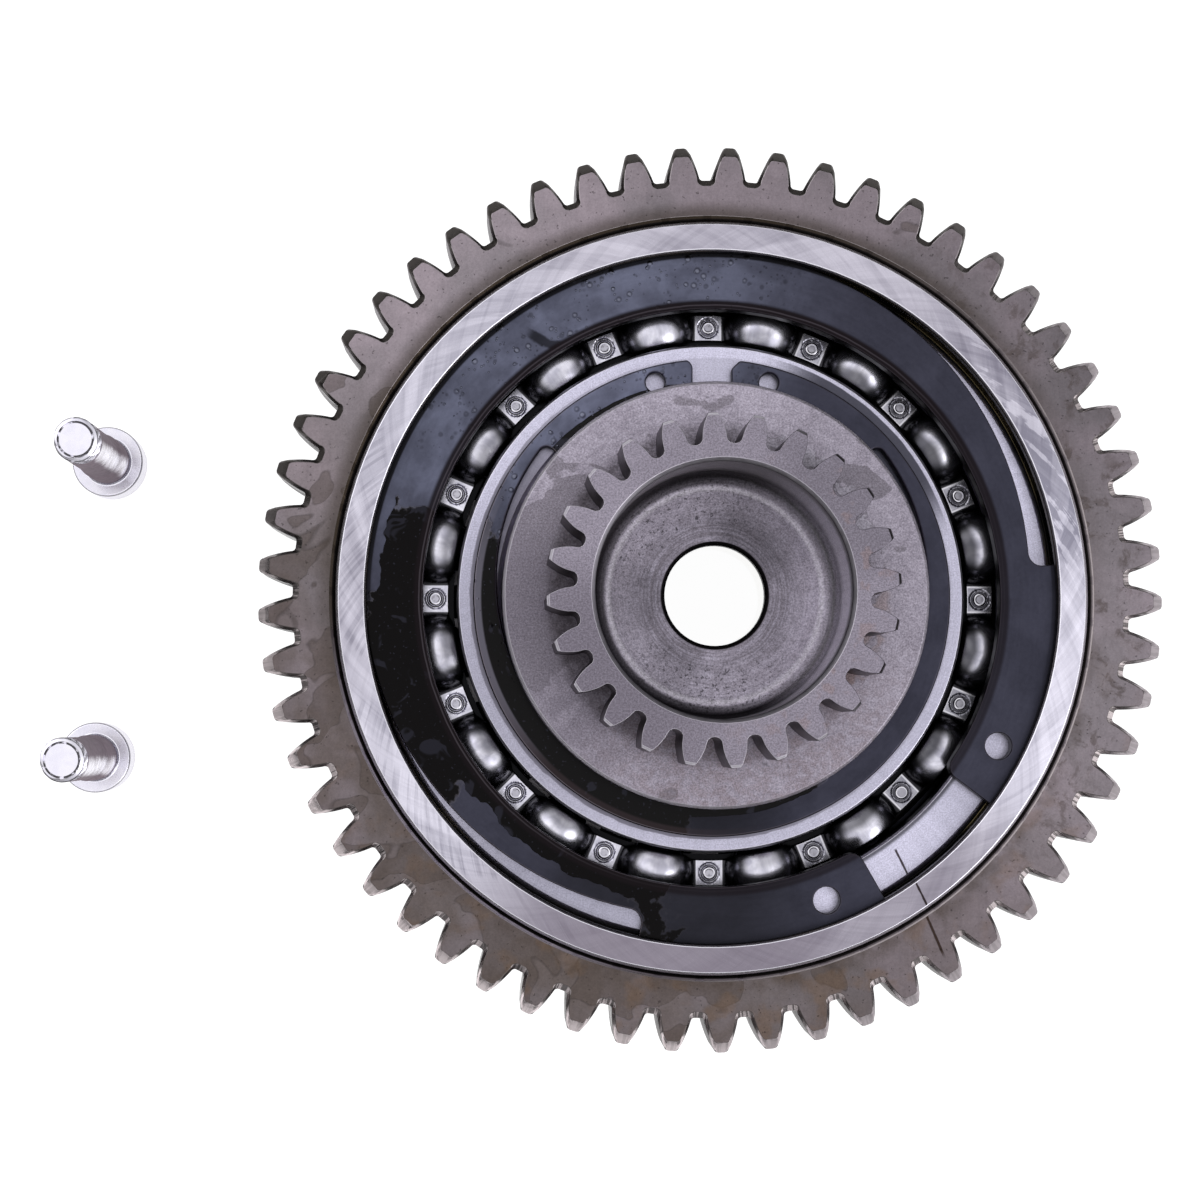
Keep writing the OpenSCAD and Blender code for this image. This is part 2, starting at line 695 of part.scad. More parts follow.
translate([0, 0, bearing_top_z]) rotate(bore_ring_turn) bore_ring();  // upper_bore_retaining_ring
translate([0, 0, bearing_top_z]) rotate(shaft_ring_turn) shaft_ring();  // upper_shaft_retaining_ring
translate([0, 0, lower_z - bore_ring_t]) rotate(-bore_ring_turn) bore_ring();  // lower_bore_retaining_ring
translate([0, 0, lower_z - shaft_ring_t]) rotate(-shaft_ring_turn) shaft_ring();  // lower_shaft_retaining_ring
sprags();
sprag_outer_cage();
sprag_inner_cage();
sprag_ribbon_spring();
translate([-screw_1_left, screw_1_back, 0]) screw();  // screw_1
translate([-screw_2_left, -screw_2_front, 0]) screw();  // screw_2
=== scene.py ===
import json
import math
import bmesh
import bpy
from mathutils import Matrix, Vector


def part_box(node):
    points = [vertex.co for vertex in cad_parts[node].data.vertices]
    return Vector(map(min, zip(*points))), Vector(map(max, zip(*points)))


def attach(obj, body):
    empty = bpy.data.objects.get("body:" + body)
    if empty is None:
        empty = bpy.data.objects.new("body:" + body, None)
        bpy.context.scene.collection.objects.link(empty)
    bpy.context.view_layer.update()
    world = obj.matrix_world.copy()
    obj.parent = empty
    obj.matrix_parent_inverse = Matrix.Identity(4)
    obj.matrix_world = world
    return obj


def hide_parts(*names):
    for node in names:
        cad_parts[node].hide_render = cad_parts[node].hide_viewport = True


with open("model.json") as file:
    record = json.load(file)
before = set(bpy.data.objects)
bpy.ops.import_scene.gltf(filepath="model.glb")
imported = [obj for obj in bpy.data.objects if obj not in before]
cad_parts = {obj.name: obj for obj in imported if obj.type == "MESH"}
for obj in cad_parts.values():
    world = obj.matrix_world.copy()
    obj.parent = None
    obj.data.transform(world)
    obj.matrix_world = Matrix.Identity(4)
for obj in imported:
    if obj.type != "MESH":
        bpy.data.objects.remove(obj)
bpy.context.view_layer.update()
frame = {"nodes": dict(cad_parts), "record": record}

mm = 0.001
nodes = frame["nodes"]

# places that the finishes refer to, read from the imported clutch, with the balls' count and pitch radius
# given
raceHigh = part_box("outer_race")[1]
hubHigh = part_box("pinion_hub")[1]
ballHeight = sum(corner.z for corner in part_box("upper_balls")) / 2
lowBallHeight = sum(corner.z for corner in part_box("lower_balls")) / 2
ballCount = 16
pitchRadius = 36.25 * mm
print("frame loaded:", len(nodes), "nodes")


class Wire:  # one output socket, so that shader maths reads as maths
    def __init__(self, tree, socket=None):
        self.tree, self.socket = tree, socket

    def make(self, kind, settings=None, inputs=None, output=0):  # any node: settings first, then sockets
        made = self.tree.nodes.new("ShaderNode" + kind)
        for name, value in (settings or {}).items():
            setattr(made, name, value)
        for key, value in (inputs or {}).items():
            if isinstance(value, Wire):
                self.tree.links.new(value.socket, made.inputs[key])
            elif made.inputs[key].type == "RGBA":
                made.inputs[key].default_value = (*value, 1)
            else:
                made.inputs[key].default_value = value
        return Wire(self.tree, made.outputs[output])

    def beside(self, name):  # another output of the same node
        return Wire(self.tree, self.socket.node.outputs[name])

    def into(self, kind):  # ends the tree in an output node
        end = self.tree.nodes.new("ShaderNode" + kind)
        self.tree.links.new(self.socket, end.inputs["Surface"])

    def maths(self, operation, *values):
        return self.make("Math", {"operation": operation}, dict(enumerate(values)))

    def __add__(self, other):
        return self.maths("ADD", self, other)

    def __radd__(self, other):
        return self.maths("ADD", other, self)

    def __sub__(self, other):
        return self.maths("SUBTRACT", self, other)

    def __rsub__(self, other):
        return self.maths("SUBTRACT", other, self)

    def __mul__(self, other):
        return self.maths("MULTIPLY", self, other)

    def __rmul__(self, other):
        return self.maths("MULTIPLY", other, self)

    def __truediv__(self, other):
        return self.maths("DIVIDE", self, other)

    def __rtruediv__(self, other):
        return self.maths("DIVIDE", other, self)

    def __pow__(self, other):
        return self.maths("POWER", self, other)

    def __rpow__(self, other):
        return self.maths("POWER", other, self)

    def __abs__(self):
        return self.maths("ABSOLUTE", self)


def between(value, low, high, start=0.0, end=1.0):  # smooth rise from start at low to end at high
    settings = {"interpolation_type": "SMOOTHSTEP"}
    return value.make("MapRange", settings, {0: value, 1: low, 2: high, 3: start, 4: end})


def blend(mask, first, second):  # colour first where mask is 0, second where it is 1
    return mask.make("Mix", {"data_type": "RGBA"}, {0: mask, 6: first, 7: second}, 2)


def shade(colour, amount):  # a colour made lighter or darker by a value
    return amount.make("VectorMath", {"operation": "SCALE"}, {0: colour, "Scale": amount})


def noise(at, size, detail=2.0, rough=0.5, warp=0.0):  # size is that of one blotch, in the units of at
    inputs = {"Vector": at, "Scale": 1 / size, "Detail": detail, "Roughness": rough, "Distortion": warp}
    return at.make("TexNoise", None, inputs)


def vector(x, y, z):
    maker = next(part for part in (x, y, z) if isinstance(part, Wire))
    return maker.make("CombineXYZ", None, {0: x, 1: y, 2: z})


def smaller(first, second):
    return first.maths("MINIMUM", first, second)


def larger(first, second):
    return first.maths("MAXIMUM", first, second)


def emptied(owner):  # the node tree of a material or a world, with nothing in it
    owner.use_nodes = True
    owner.node_tree.nodes.clear()
    return owner.node_tree


class Place:  # where a shaded point lies: row axes, distance and turn round the hub's axis
    def __init__(self, tree):
        self.at = Wire(tree).make("TexCoord", output="Object")
        self.x = self.at.make("SeparateXYZ", None, {0: self.at})
        self.y, self.z = self.x.beside("Y"), self.x.beside("Z")
        self.radius = (self.x * self.x + self.y * self.y) ** 0.5
        self.turn = self.x.maths("ARCTAN2", self.y, self.x)
        self.cos, self.sin = self.x / self.radius, self.y / self.radius
        normal = self.at.make("NewGeometry", output="Normal")
        self.lean = self.at.make("SeparateXYZ", None, {0: normal})
        self.tilt = self.lean.beside("Z")
        self.flat = between(self.tilt, 0.97, 0.995)
        self.edge = between(self.tilt, 0.45, 0.7) * between(self.tilt, 0.99, 0.94)  # on a broken edge

    def beyond(self, near, far):  # rises from 0 to 1 as the distance goes from near to far, in mm
        return between(self.radius, near * mm, far * mm)

    def above(self, low, high):  # the same with the height
        return between(self.z, low * mm, high * mm)

    def within(self, low, high, soft=0.05):  # 1 where the distance is between low and high, in mm
        return self.beyond(low - soft, low + soft) * self.beyond(high + soft, high - soft)

    def noise(self, size, detail=2.0, rough=0.5, warp=0.0):  # size in mm
        return noise(self.at, size * mm, detail, rough, warp)

    def marks(self, count, along, size, detail=2.0, rough=0.5):  # long marks that run round the axis
        return noise(vector(self.cos * count, self.sin * count, along / (size * mm)), 1.0, detail, rough)

    def rings(self, pitch, length):  # turning marks: grooves pitch mm apart that change over length radians
        return self.marks(1 / length, self.radius, pitch, 2.0, 0.6)

    def arcs(self, skew, middle, count, spread):  # grinding arcs that cross the face at a slant
        turn = self.turn - (self.radius - middle) * skew
        cos, sin = turn.maths("COSINE", turn), turn.maths("SINE", turn)
        return noise(vector(cos * count, sin * count, self.radius / spread), 1.0, 2.0, 0.6)

    def sector(self, middle, half, soft):  # 1 within half degrees of middle, fading over soft degrees
        away = self.cos * math.cos(math.radians(middle)) + self.sin * math.sin(math.radians(middle))
        far, near = math.radians(min(half + soft, 180)), math.radians(max(half - soft, 0))
        return between(away, math.cos(far), math.cos(near))


def finish(name, colour, rough, height=None, depth=0.0, metal=None, **fixed):  # only what varies is linked
    made = bpy.data.materials.new(name)
    place = Place(emptied(made))
    inputs = {"Base Color": colour(place), "Roughness": rough(place), **fixed}
    inputs["Metallic"] = metal(place) if metal else 1.0
    if height is not None:
        bump = {"Height": height(place), "Strength": 1.0, "Distance": depth}
        inputs["Normal"] = place.at.make("Bump", None, bump)
    place.at.make("BsdfPrincipled", None, inputs).into("OutputMaterial")
    return made


# the camera of the photograph, found from the teeth, the rivets and the screws
shot = {
    "at": (-28.9 * mm, -17.1 * mm, 393 * mm), "turn": (2.72, -2.32, 0.06), "lens": 80.85, "sensor": 36,
    "nearest": 0.01, "farthest": 50,
}
cameraData = bpy.data.cameras.new("camera")
cameraData.lens, cameraData.sensor_width = shot["lens"], shot["sensor"]
cameraData.clip_start, cameraData.clip_end = shot["nearest"], shot["farthest"]
camera = bpy.data.objects.new("camera", cameraData)
bpy.context.scene.collection.objects.link(camera)
turnAxis = Vector(shot["turn"])
camera.matrix_world = Matrix.Translation(shot["at"]) @ Matrix.Rotation(
    math.radians(turnAxis.length), 4, turnAxis.normalized())
bpy.context.scene.camera = camera
bpy.context.scene.view_settings.view_transform = "Standard"

# the studio: a broad soft light overhead, a harder box low at the right and a softer one at the left
studio = {
    "room": 0.05, "overhead": 1.02, "overheadFrom": 0.3, "overheadTo": 0.74,
    "boxes": [  # direction, power, and the cosines at the edge and at the core
        ((0.66, -0.40, 0.64), 1.9, 0.93, 0.985),
        ((-0.60, 0.42, 0.68), 0.6, 0.88, 0.985),
        ((0.93, -0.30, 0.12), 0.55, 0.80, 0.97),
    ],
}
world = bpy.data.worlds.new("studio")
bpy.context.scene.world = world
sky = Wire(emptied(world)).make("TexCoord", output="Generated")
up = sky.make("SeparateXYZ", None, {0: sky}).beside("Z")
light = between(up, studio["overheadFrom"], studio["overheadTo"], studio["room"], studio["overhead"])
for direction, power, edge, core in studio["boxes"]:
    facing = sky.make("VectorMath", {"operation": "DOT_PRODUCT"},
                      {0: sky, 1: Vector(direction).normalized()}, "Value")
    light = light + between(facing, edge, core, 0, power)
light = larger(light, sky.make("LightPath", output="Is Camera Ray"))
sky.make("Background", None, {"Color": (1, 1, 1), "Strength": light}).into("OutputWorld")

# the floor, white to the camera and in the metal, with the shadow left on it and dark under the clutch
floorLook = {
    "size": 30, "drop": 0.05 * mm, "glow": 0.97, "paper": 0.3, "bounce": 0.8,
    "covered": (16 * mm, 48 * mm), "soft": 1 * mm,
}
floorMesh = bmesh.new()
bmesh.ops.create_circle(floorMesh, cap_ends=True, radius=floorLook["size"], segments=64)
floorData = bpy.data.meshes.new("floor")
floorMesh.to_mesh(floorData)
floor = bpy.data.objects.new("floor", floorData)
floor.location.z = -floorLook["drop"]
bpy.context.scene.collection.objects.link(floor)
paper = bpy.data.materials.new("paper")
ray = Wire(emptied(paper)).make("LightPath", output="Is Camera Ray")
seen = larger(larger(ray, ray.beside("Is Glossy Ray")), ray.beside("Is Transmission Ray"))
matt = ray.make("BsdfDiffuse", None, {"Color": (floorLook["paper"],) * 3})
spot = ray.make("TexCoord", output="Object")
fromAxis = spot.make("VectorMath", {"operation": "LENGTH"}, {0: spot}, "Value")
(inner, outer), soft = floorLook["covered"], floorLook["soft"]
covered = between(fromAxis, inner, inner + soft) * between(fromAxis, outer, outer - soft)
glow = ray.make("Emission", None, {"Color": (1, 1, 1), "Strength": floorLook["glow"] * (1 - covered)})
lit = ray.make("AddShader", None, {0: matt, 1: glow})
plain = ray.make("BsdfDiffuse", None, {"Color": (floorLook["bounce"],) * 3})
ray.make("MixShader", None, {0: seen, 1: plain, 2: lit}).into("OutputMaterial")
floorData.materials.append(paper)
print("camera, studio and floor made")

# the scribed witness line across the bearing, the race and the gear
witness = {  # the ends and the width of each stretch, in mm
    "race": {"from": (24.0, -32.8), "to": (28.4, -41.7), "width": 0.26},
    "gear": {"from": (27.2, -40.6), "to": (29.9, -46.9), "width": 0.3},
}


def scribed(place, stretch="race"):  # 1 on the line
    line = witness[stretch]
    start, end = Vector(line["from"]) * mm, Vector(line["to"]) * mm
    full, along = (end - start).length, (end - start).normalized()
    x, y = place.x - start.x, place.y - start.y
    across = abs(x * -along.y + y * along.x)
    length = x * along.x + y * along.y
    inside = between(length, 0, 0.4 * mm) * between(length, full, full - 1.2 * mm)
    uneven = (0.5 + place.noise(0.8)) * (line["width"] * mm)
    return between(across / uneven, 0.75, 0.35) * inside * place.flat


# ring gear: phosphated, mauve grey, stained brown and wetted by oil towards the lower left
gearLook = {
    "mauve": (0.255, 0.216, 0.244), "grey": (0.185, 0.163, 0.18), "brown": (0.118, 0.094, 0.086),
    "wet": (0.078, 0.06, 0.052), "smudge": (0.06, 0.043, 0.036), "seam": (0.052, 0.04, 0.03),
    "facetLit": (0.44, 0.395, 0.42), "facet": (0.72, 0.64, 0.655), "facetShade": (0.062, 0.055, 0.052),
    "groove": (0.02, 0.017, 0.016), "rust": (0.16, 0.095, 0.05), "mouth": (0.17, 0.147, 0.155),
    "scribed": (0.028, 0.016, 0.01), "shine": (0.36, 0.32, 0.37),
}


def gearStain(place):
    side = place.sector(236, 60, 50)
    patches = between(place.noise(9, 3, 0.6, 0.4), 0.36, 0.62)
    return side * (0.45 + 0.55 * patches)


def gearFilm(place):  # height of the oil film, which lies towards the left
    return place.noise(7.5, 2, 0.4, 0.5) - 0.2 + 0.21 * place.sector(215, 55, 30)


def gearSmudges(place):  # soft dark marks, closest at the right
    grown = place.noise(2.8, 5, 0.7, 0.4)
    patch = between(place.noise(6, 1), 0.36, 0.52)
    return between(grown, 0.5, 0.64) * patch * (0.12 + 0.88 * place.sector(2, 42, 30)) * place.flat


def gearPits(place):
    return between(place.noise(0.5, 2), 0.66, 0.72)


def gearColour(place):
    cloud = between(place.noise(14, 3, 0.55), 0.35, 0.65)
    mottle = place.noise(1.3, 4, 0.65, 0.3)
    streaks = noise(vector(place.x / (0.5 * mm), place.y / (9 * mm), place.z), 1.0, 2)
    grain = place.noise(0.26, 3, 0.75)
    colour = blend(cloud, gearLook["mauve"], gearLook["grey"])
    # painted sheen in sectors at the upper left, the right and the left, painted shade at the upper and
    # lower right
    colour = shade(colour, 1 + 0.4 * place.sector(138, 26, 22) - 0.16 * place.sector(38, 22, 20)
                   + 0.2 * place.sector(346, 26, 16) + 0.08 * place.sector(178, 12, 12)
                   - 0.16 * place.sector(300, 12, 12))
    colour = blend(gearStain(place) * 0.82, colour, gearLook["brown"])
    film = gearFilm(place)
    colour = blend(between(film, 0.5, 0.512) * 0.5, colour, gearLook["wet"])
    shore = between(film, 0.492, 0.503) * between(film, 0.515, 0.507)
    colour = blend(shore * 0.3, colour, gearLook["groove"])
    colour = blend(gearSmudges(place) * 0.55, colour, gearLook["smudge"])
    rusty = between(place.noise(4, 3), 0.5, 0.66) * place.sector(275, 55, 35)
    colour = blend(rusty * 0.35, colour, gearLook["rust"])
    seam = place.beyond(52.5, 49.8) * between(place.noise(3, 3), 0.35, 0.65)
    colour = blend(seam * (0.12 + 0.5 * place.sector(285, 55, 40)), colour, gearLook["wet"])
    bank = place.beyond(52.2, 49.9) * place.sector(110, 75, 40)
    colour = blend(bank * 0.66, colour, gearLook["seam"])
    colour = blend(scribed(place, "gear") * 0.9, colour, gearLook["scribed"])
    colour = blend(gearPits(place) * 0.5, colour, gearLook["groove"])
    colour = shade(colour, 0.45 + 0.14 * streaks + 0.62 * grain + 0.32 * mottle)
    return gearFacets(place, colour)


def gearFacets(place, colour):  # the bevels, with painted shade on those at the top and painted highlights on those lower down, over chatter stripes
    chatter = place.marks(170, place.radius, 4, 1)
    stripes = between(chatter, 0.45, 0.55)
    bright = blend(place.sector(225, 48, 25), gearLook["facetLit"], gearLook["facet"])
    tip = place.beyond(56.6, 57.1)
    root = place.beyond(55.6, 55.0)
    ladder = blend(0.3 + 0.7 * stripes, gearLook["groove"], gearLook["facet"])
    flank = blend(0.2 + 0.5 * stripes, gearLook["facetShade"], bright)
    cut = blend(root, flank, ladder)
    cut = blend(tip * (0.75 + 0.25 * stripes), cut, bright)
    bevelled = between(place.tilt, 0.96, 0.86) * between(place.tilt, 0.2, 0.35)
    # painted shade on the bevels that face the top
    cut = blend(place.sector(292, 112, 20), gearLook["facetShade"], cut)
    colour = blend(bevelled * place.beyond(52, 53), colour, cut)
    # the bore's bevel: painted shade at the top and in the gap to the race, painted highlights at the lower
    # left and at the right
    mouth = between(place.tilt, 0.97, 0.9) * place.beyond(51, 50.4)
    rim = blend(place.sector(125, 70, 30), gearLook["mouth"], gearLook["seam"])
    rim = blend(place.sector(222, 26, 14), rim, gearLook["shine"])
    rim = blend(place.beyond(49.5, 49.36), rim, gearLook["groove"])
    paleLine = place.beyond(49.55, 49.64) * place.sector(335, 55, 25)
    rim = blend(paleLine * 0.6, rim, gearLook["facet"])
    colour = blend(mouth, colour, rim)
    # painted shade on the upright faces, the flanks and the bore
    colour = shade(colour, 1 - 0.6 * between(place.tilt, 0.3, 0.15))
    # painted shade on the teeth's top edges at the top, painted highlights on them elsewhere
    lip = between(place.tilt, 0.995, 0.975) * between(place.tilt, 0.86, 0.93)
    outline = blend(place.sector(100, 52, 20), gearLook["facetShade"], gearLook["facetLit"])
    return blend(lip * 0.8, colour, outline)


def gearRough(place):
    film = between(gearFilm(place), 0.5, 0.512)
    return 0.34 + 0.18 * place.noise(3, 3) - 0.14 * film


def gearHeight(place):
    grain = place.noise(0.25, 3, 0.7) * 0.4 - gearPits(place) - 0.6 * gearSmudges(place)
    swell = between(gearFilm(place), 0.488, 0.512)
    turned = place.rings(0.3, 0.5) * 0.2
    return grain * (1 - 0.6 * swell) + swell * 1.5 + turned - 2 * scribed(place, "gear")


# outer race: ground bright, with slanted grinding arcs that cross, and painted reflections in wedges where
# they would catch the light
raceLook = {
    "bright": (0.77, 0.745, 0.86), "dark": (0.27, 0.26, 0.33), "middle": 47 * mm, "skew": 27.0,
    "spread": 40 * mm, "shadow": (0.2, 0.17, 0.215), "oil": (0.009, 0.0085, 0.008),
    "meniscus": (0.12, 0.095, 0.05), "wall": (0.47, 0.455, 0.515), "scribed": (0.02, 0.012, 0.012),
    "edge": (0.86, 0.84, 0.93),
}


def raceArcs(place, turn, count=110):
    return place.arcs(turn * raceLook["skew"], raceLook["middle"], count, raceLook["spread"])


def raceWall(place):  # where the face turns down, in and out
    return between(place.tilt, 0.85, 0.6)


def raceColour(place):
    arcs = smaller(raceArcs(place, 1), raceArcs(place, -1)) * 0.5 + raceArcs(place, 1.5, 60) * 0.5
    broad = between(raceArcs(place, -2.0, 3.1), 0.42, 0.54)
    narrow = between(raceArcs(place, 1.7, 8), 0.47, 0.56)
    fine = between(raceArcs(place, -1.3, 26), 0.45, 0.6)
    torn = raceArcs(place, -1.9, 7) + 0.14 * raceArcs(place, -1.9, 90) + 0.34 * place.noise(2.2, 3)
    torn = between(torn, 0.68, 0.73) * place.sector(25, 19, 9)
    hatch = between(raceArcs(place, 1.1, 42), 0.5, 0.58) * between(raceArcs(place, -1.1, 5), 0.46, 0.54)
    hatch = hatch * (0.35 + 0.65 * place.sector(205, 45, 25))
    wedgeReflections = broad * 0.42 + narrow * 0.3 + fine * 0.2 + torn * 0.8 + hatch * 0.4
    colour = blend(wedgeReflections * 0.66 * place.flat, raceLook["bright"], raceLook["dark"])
    # painted shadow at the bottom, the left and the top, and a painted highlight at the right
    low = larger(place.sector(266, 26, 18) * 0.86, place.sector(300, 14, 14) * 0.66)
    colour = blend(low, colour, raceLook["shadow"])
    colour = blend(place.sector(180, 10, 12) * 0.2, colour, raceLook["shadow"])
    colour = shade(colour, 1 + 0.14 * place.sector(350, 24, 16))
    colour = blend(place.sector(75, 36, 24) * 0.3, colour, raceLook["shadow"])
    colour = shade(colour, 0.74 + 0.46 * arcs)
    colour = blend(scribed(place) * 0.95, colour, raceLook["scribed"])
    # painted highlight on the broken edges
    colour = blend(place.edge, colour, raceLook["edge"])
    outside = place.beyond(48.2, 48.6) * raceWall(place)
    turned = place.marks(3, place.z, 0.16, 2)
    bands = place.marks(1.2, place.z, 5, 2)
    colour = blend(outside, colour, shade(raceLook["wall"], 0.55 + 0.5 * turned + 0.4 * bands))
    # the inner wall in the gap beside the bore ring: painted shade, black, with lines of oil across it
    lines = place.marks(2, place.z, 0.35, 1)
    oily = blend(between(lines, 0.55, 0.62) * 0.9, raceLook["oil"], raceLook["meniscus"])
    below = between(place.z, raceHigh.z - 0.5 * mm, raceHigh.z - 0.9 * mm)
    return blend(place.beyond(46.2, 45.5) * larger(raceWall(place), below), colour, oily)


def raceRough(place):
    return 0.17 + 0.16 * raceArcs(place, 1) + 0.13 * raceWall(place)


def raceHeight(place):
    return (raceArcs(place, 1) + raceArcs(place, -1) - 4 * scribed(place)) * place.flat


# bearing rings: fine ground, finely speckled, with an oily margin beside the shaft ring
bearingLook = {
    "bright": (0.58, 0.565, 0.7), "dark": (0.41, 0.395, 0.5), "oily": (0.16, 0.15, 0.19),
    "oil": (0.01, 0.0095, 0.011), "scribed": (0.03, 0.02, 0.022), "film": (0.045, 0.045, 0.062),
    "edge": (0.85, 0.83, 0.95),
}


def bearingColour(place):
    speckle = place.noise(0.18, 2, 0.6)
    grind = place.rings(0.12, 0.25)
    brushed = place.marks(60, place.radius, 9, 3)
    colour = blend(between(speckle, 0.3, 0.7), bearingLook["dark"], bearingLook["bright"])
    colour = shade(colour, 0.7 + 0.32 * grind + 0.28 * brushed)
    inner = place.beyond(35, 34)
    # painted highlights and shade in sectors round the axis, on the inner ring and on the outer
    innerLightAndShade = 0.24 * place.sector(112, 46, 14) - 0.18 * place.sector(205, 28, 18)
    lit = larger(place.sector(300, 14, 8), place.sector(30, 16, 8))
    outerLightAndShade = 0.3 * lit - 0.2 * place.sector(240, 14, 8)
    colour = shade(colour, 1 + inner * innerLightAndShade)
    colour = shade(colour, 1 + (1 - inner) * outerLightAndShade)
    colour = blend(scribed(place) * 0.95, colour, bearingLook["scribed"])
    creep = (place.noise(2, 2) - 0.5) * 0.5 * mm
    margin = between(place.radius + creep, 31.75 * mm, 31.6 * mm) * (0.3 + 0.7 * place.sector(215, 80, 25))
    colour = blend(margin * 0.85, colour, bearingLook["oily"])
    film = between(place.radius + creep * 0.4, 32.65 * mm, 32.5 * mm) * place.sector(46, 24, 8)
    colour = blend(film * 0.94, colour, bearingLook["film"])
    shadow = place.beyond(40.2, 39.7) * place.beyond(38, 39)
    colour = blend(shadow * 0.8, colour, bearingLook["oil"])
    # painted highlight on the broken edges
    colour = blend(place.edge * 0.7, colour, bearingLook["edge"])
    # painted shade on the upright faces
    return blend(between(place.tilt, 0.7, 0.45), colour, bearingLook["oil"])


def bearingRough(place):
    return 0.26 + 0.16 * place.noise(1.5, 3)


def bearingHeight(place):
    return place.rings(0.1, 0.3) + 0.5 * place.noise(0.3) - 2 * scribed(place)


# ball cages: pressed bright sheet, burnished on the domes, with painted shade round the rivets' heads, in
# the creases and on the domes' sides, and painted highlights on the pads' edges and round the heads' rims
cageLook = {
    "bright": (0.84, 0.825, 0.93), "dull": (0.54, 0.53, 0.63), "oil": (0.008, 0.008, 0.009),
    "head": (0.36, 0.35, 0.4), "rim": (0.92, 0.9, 0.97), "ring": (0.95, 0.93, 1.0),
}


def besideRivet(place):  # outwards and round from the nearest rivet's axis
    step = 2 * math.pi / ballCount
    near = place.turn / step + 0.5
    near = (near - near.maths("FLOOR", near) - 0.5) * step
    return place.radius * near.maths("COSINE", near) - pitchRadius, place.radius * near.maths("SINE", near)


def cageColour(place):
    out, side = besideRivet(place)
    away = (out * out + side * side) ** 0.5
    scuffs = place.noise(1.8, 2, 0.5, 0.3)
    brushed = place.marks(90, place.radius, 3, 2)
    colour = blend(between(scuffs, 0.3, 0.7), cageLook["dull"], cageLook["bright"])
    rise = place.z - (ballHeight + 0.8 * mm)
    domed = between(rise, 0.3 * mm, 1 * mm)
    right = place.sector(0, 75, 35)
    colour = shade(colour, 0.84 + 0.3 * brushed - 0.5 * right * (1 - domed))
    # painted shade on the domes' inner side at the left and right, and on their outer side at the top
    inner = between(out, -0.1 * mm, -1.5 * mm) * larger(right, place.sector(195, 60, 30) * 0.7)
    outer = between(out, 0.3 * mm, 1.5 * mm) * place.sector(95, 50, 30)
    colour = blend(domed * larger(inner, outer) * 0.85, colour, cageLook["oil"])
    # painted shade where the domes fall to the pads
    creaseShade = between(abs(side), 1.68 * mm, 1.82 * mm) * between(rise, 3.4 * mm, 1.2 * mm)
    colour = blend(creaseShade * 0.94, colour, cageLook["oil"])
    # painted highlight on the pads' edges, strongest at the right
    rim = larger(between(abs(side), 1.5 * mm, 1.62 * mm), between(abs(out), 1.5 * mm, 1.62 * mm))
    rim = rim * between(abs(side), 1.85 * mm, 1.72 * mm) * (1 - domed)
    colour = blend(rim * (0.1 + 0.45 * right), colour, cageLook["rim"])
    # painted shade round the rivets' heads, darkest at the left
    moatShade = between(away, 0.95 * mm, 1.0 * mm) * between(away, 1.19 * mm, 1.1 * mm)
    colour = blend(moatShade * (0.8 + 0.2 * place.sector(195, 90, 40)), colour, cageLook["oil"])
    # painted highlight round the rims of the rivets' heads
    ring = between(away, 0.6 * mm, 0.68 * mm) * between(away, 0.93 * mm, 0.86 * mm)
    colour = blend(ring * 0.7, colour, cageLook["ring"])
    pits = between(place.noise(0.45, 2), 0.5, 0.62)
    colour = blend(between(away, 0.6 * mm, 0.5 * mm) * (0.55 + 0.45 * pits), colour, cageLook["head"])
    hidden = between(place.z, ballHeight + 0.12 * mm, ballHeight + 0.04 * mm)
    hidden = hidden * between(place.z, lowBallHeight - 0.12 * mm, lowBallHeight - 0.04 * mm)
    return blend(hidden, colour, cageLook["oil"])  # the faces towards the balls, between the halves, are all made black


def cageRough(place):
    return 0.2 + 0.1 * place.noise(1.6, 3)


def cageHeight(place):
    return place.noise(1.4, 2, 0.5, 0.3)


# retaining rings: blued spring steel, part wet with oil that leaves dry islands, beads of it at the top
springLook = {
    "blue": (0.046, 0.046, 0.067), "pale": (0.13, 0.138, 0.2), "oil": (0.0078, 0.0072, 0.0076),
    "thin": (0.0108, 0.0104, 0.0108), "rim": (0.12, 0.11, 0.125), "rolledHighlight": (0.19, 0.165, 0.195),
    "edgeDark": (0.0125, 0.0095, 0.0115), "sheen": (0.15, 0.142, 0.18), "drop": (0.25, 0.26, 0.34),
    "brown": (0.06, 0.042, 0.048), "beads": (1.5, 0.42), "froth": (0.7, 0.36),
}
tail = {"at": (-22.1 * mm, 33.3 * mm), "turn": math.radians(-24), "curve": 70, "width": 0.8 * mm}


def onBoreRing(place):  # 1 on the large ring, 0 on the small one
    return place.beyond(35, 36)


def oilField(place):  # above 0.5 is wet
    left = place.sector(213, 50, 14)
    wave = place.noise(5.2, 3, 0.5, 0.6)
    edge = place.noise(1.1, 2)
    wander = (place.noise(3.4, 2) - 0.5) * 2.6 * mm
    outer = between(place.radius + wander, 40.1 * mm, 40.7 * mm) * place.sector(236, 17, 7)
    torn = between(place.radius + wander, 43.2 * mm, 43.9 * mm) * place.sector(166, 14, 8)
    slick = place.beyond(28.9, 28.2) * place.sector(200, 100, 30) * 0.5
    field = left * 0.46 + wave * 0.4 + edge * 0.12 - 0.03 + slick
    return field - larger(outer, torn) * onBoreRing(place) * 0.36


def wet(place):
    return between(oilField(place), 0.485, 0.5)


def oilRim(place):  # the edge of the oil
    field = oilField(place)
    return between(field, 0.468, 0.486) * between(field, 0.508, 0.494)


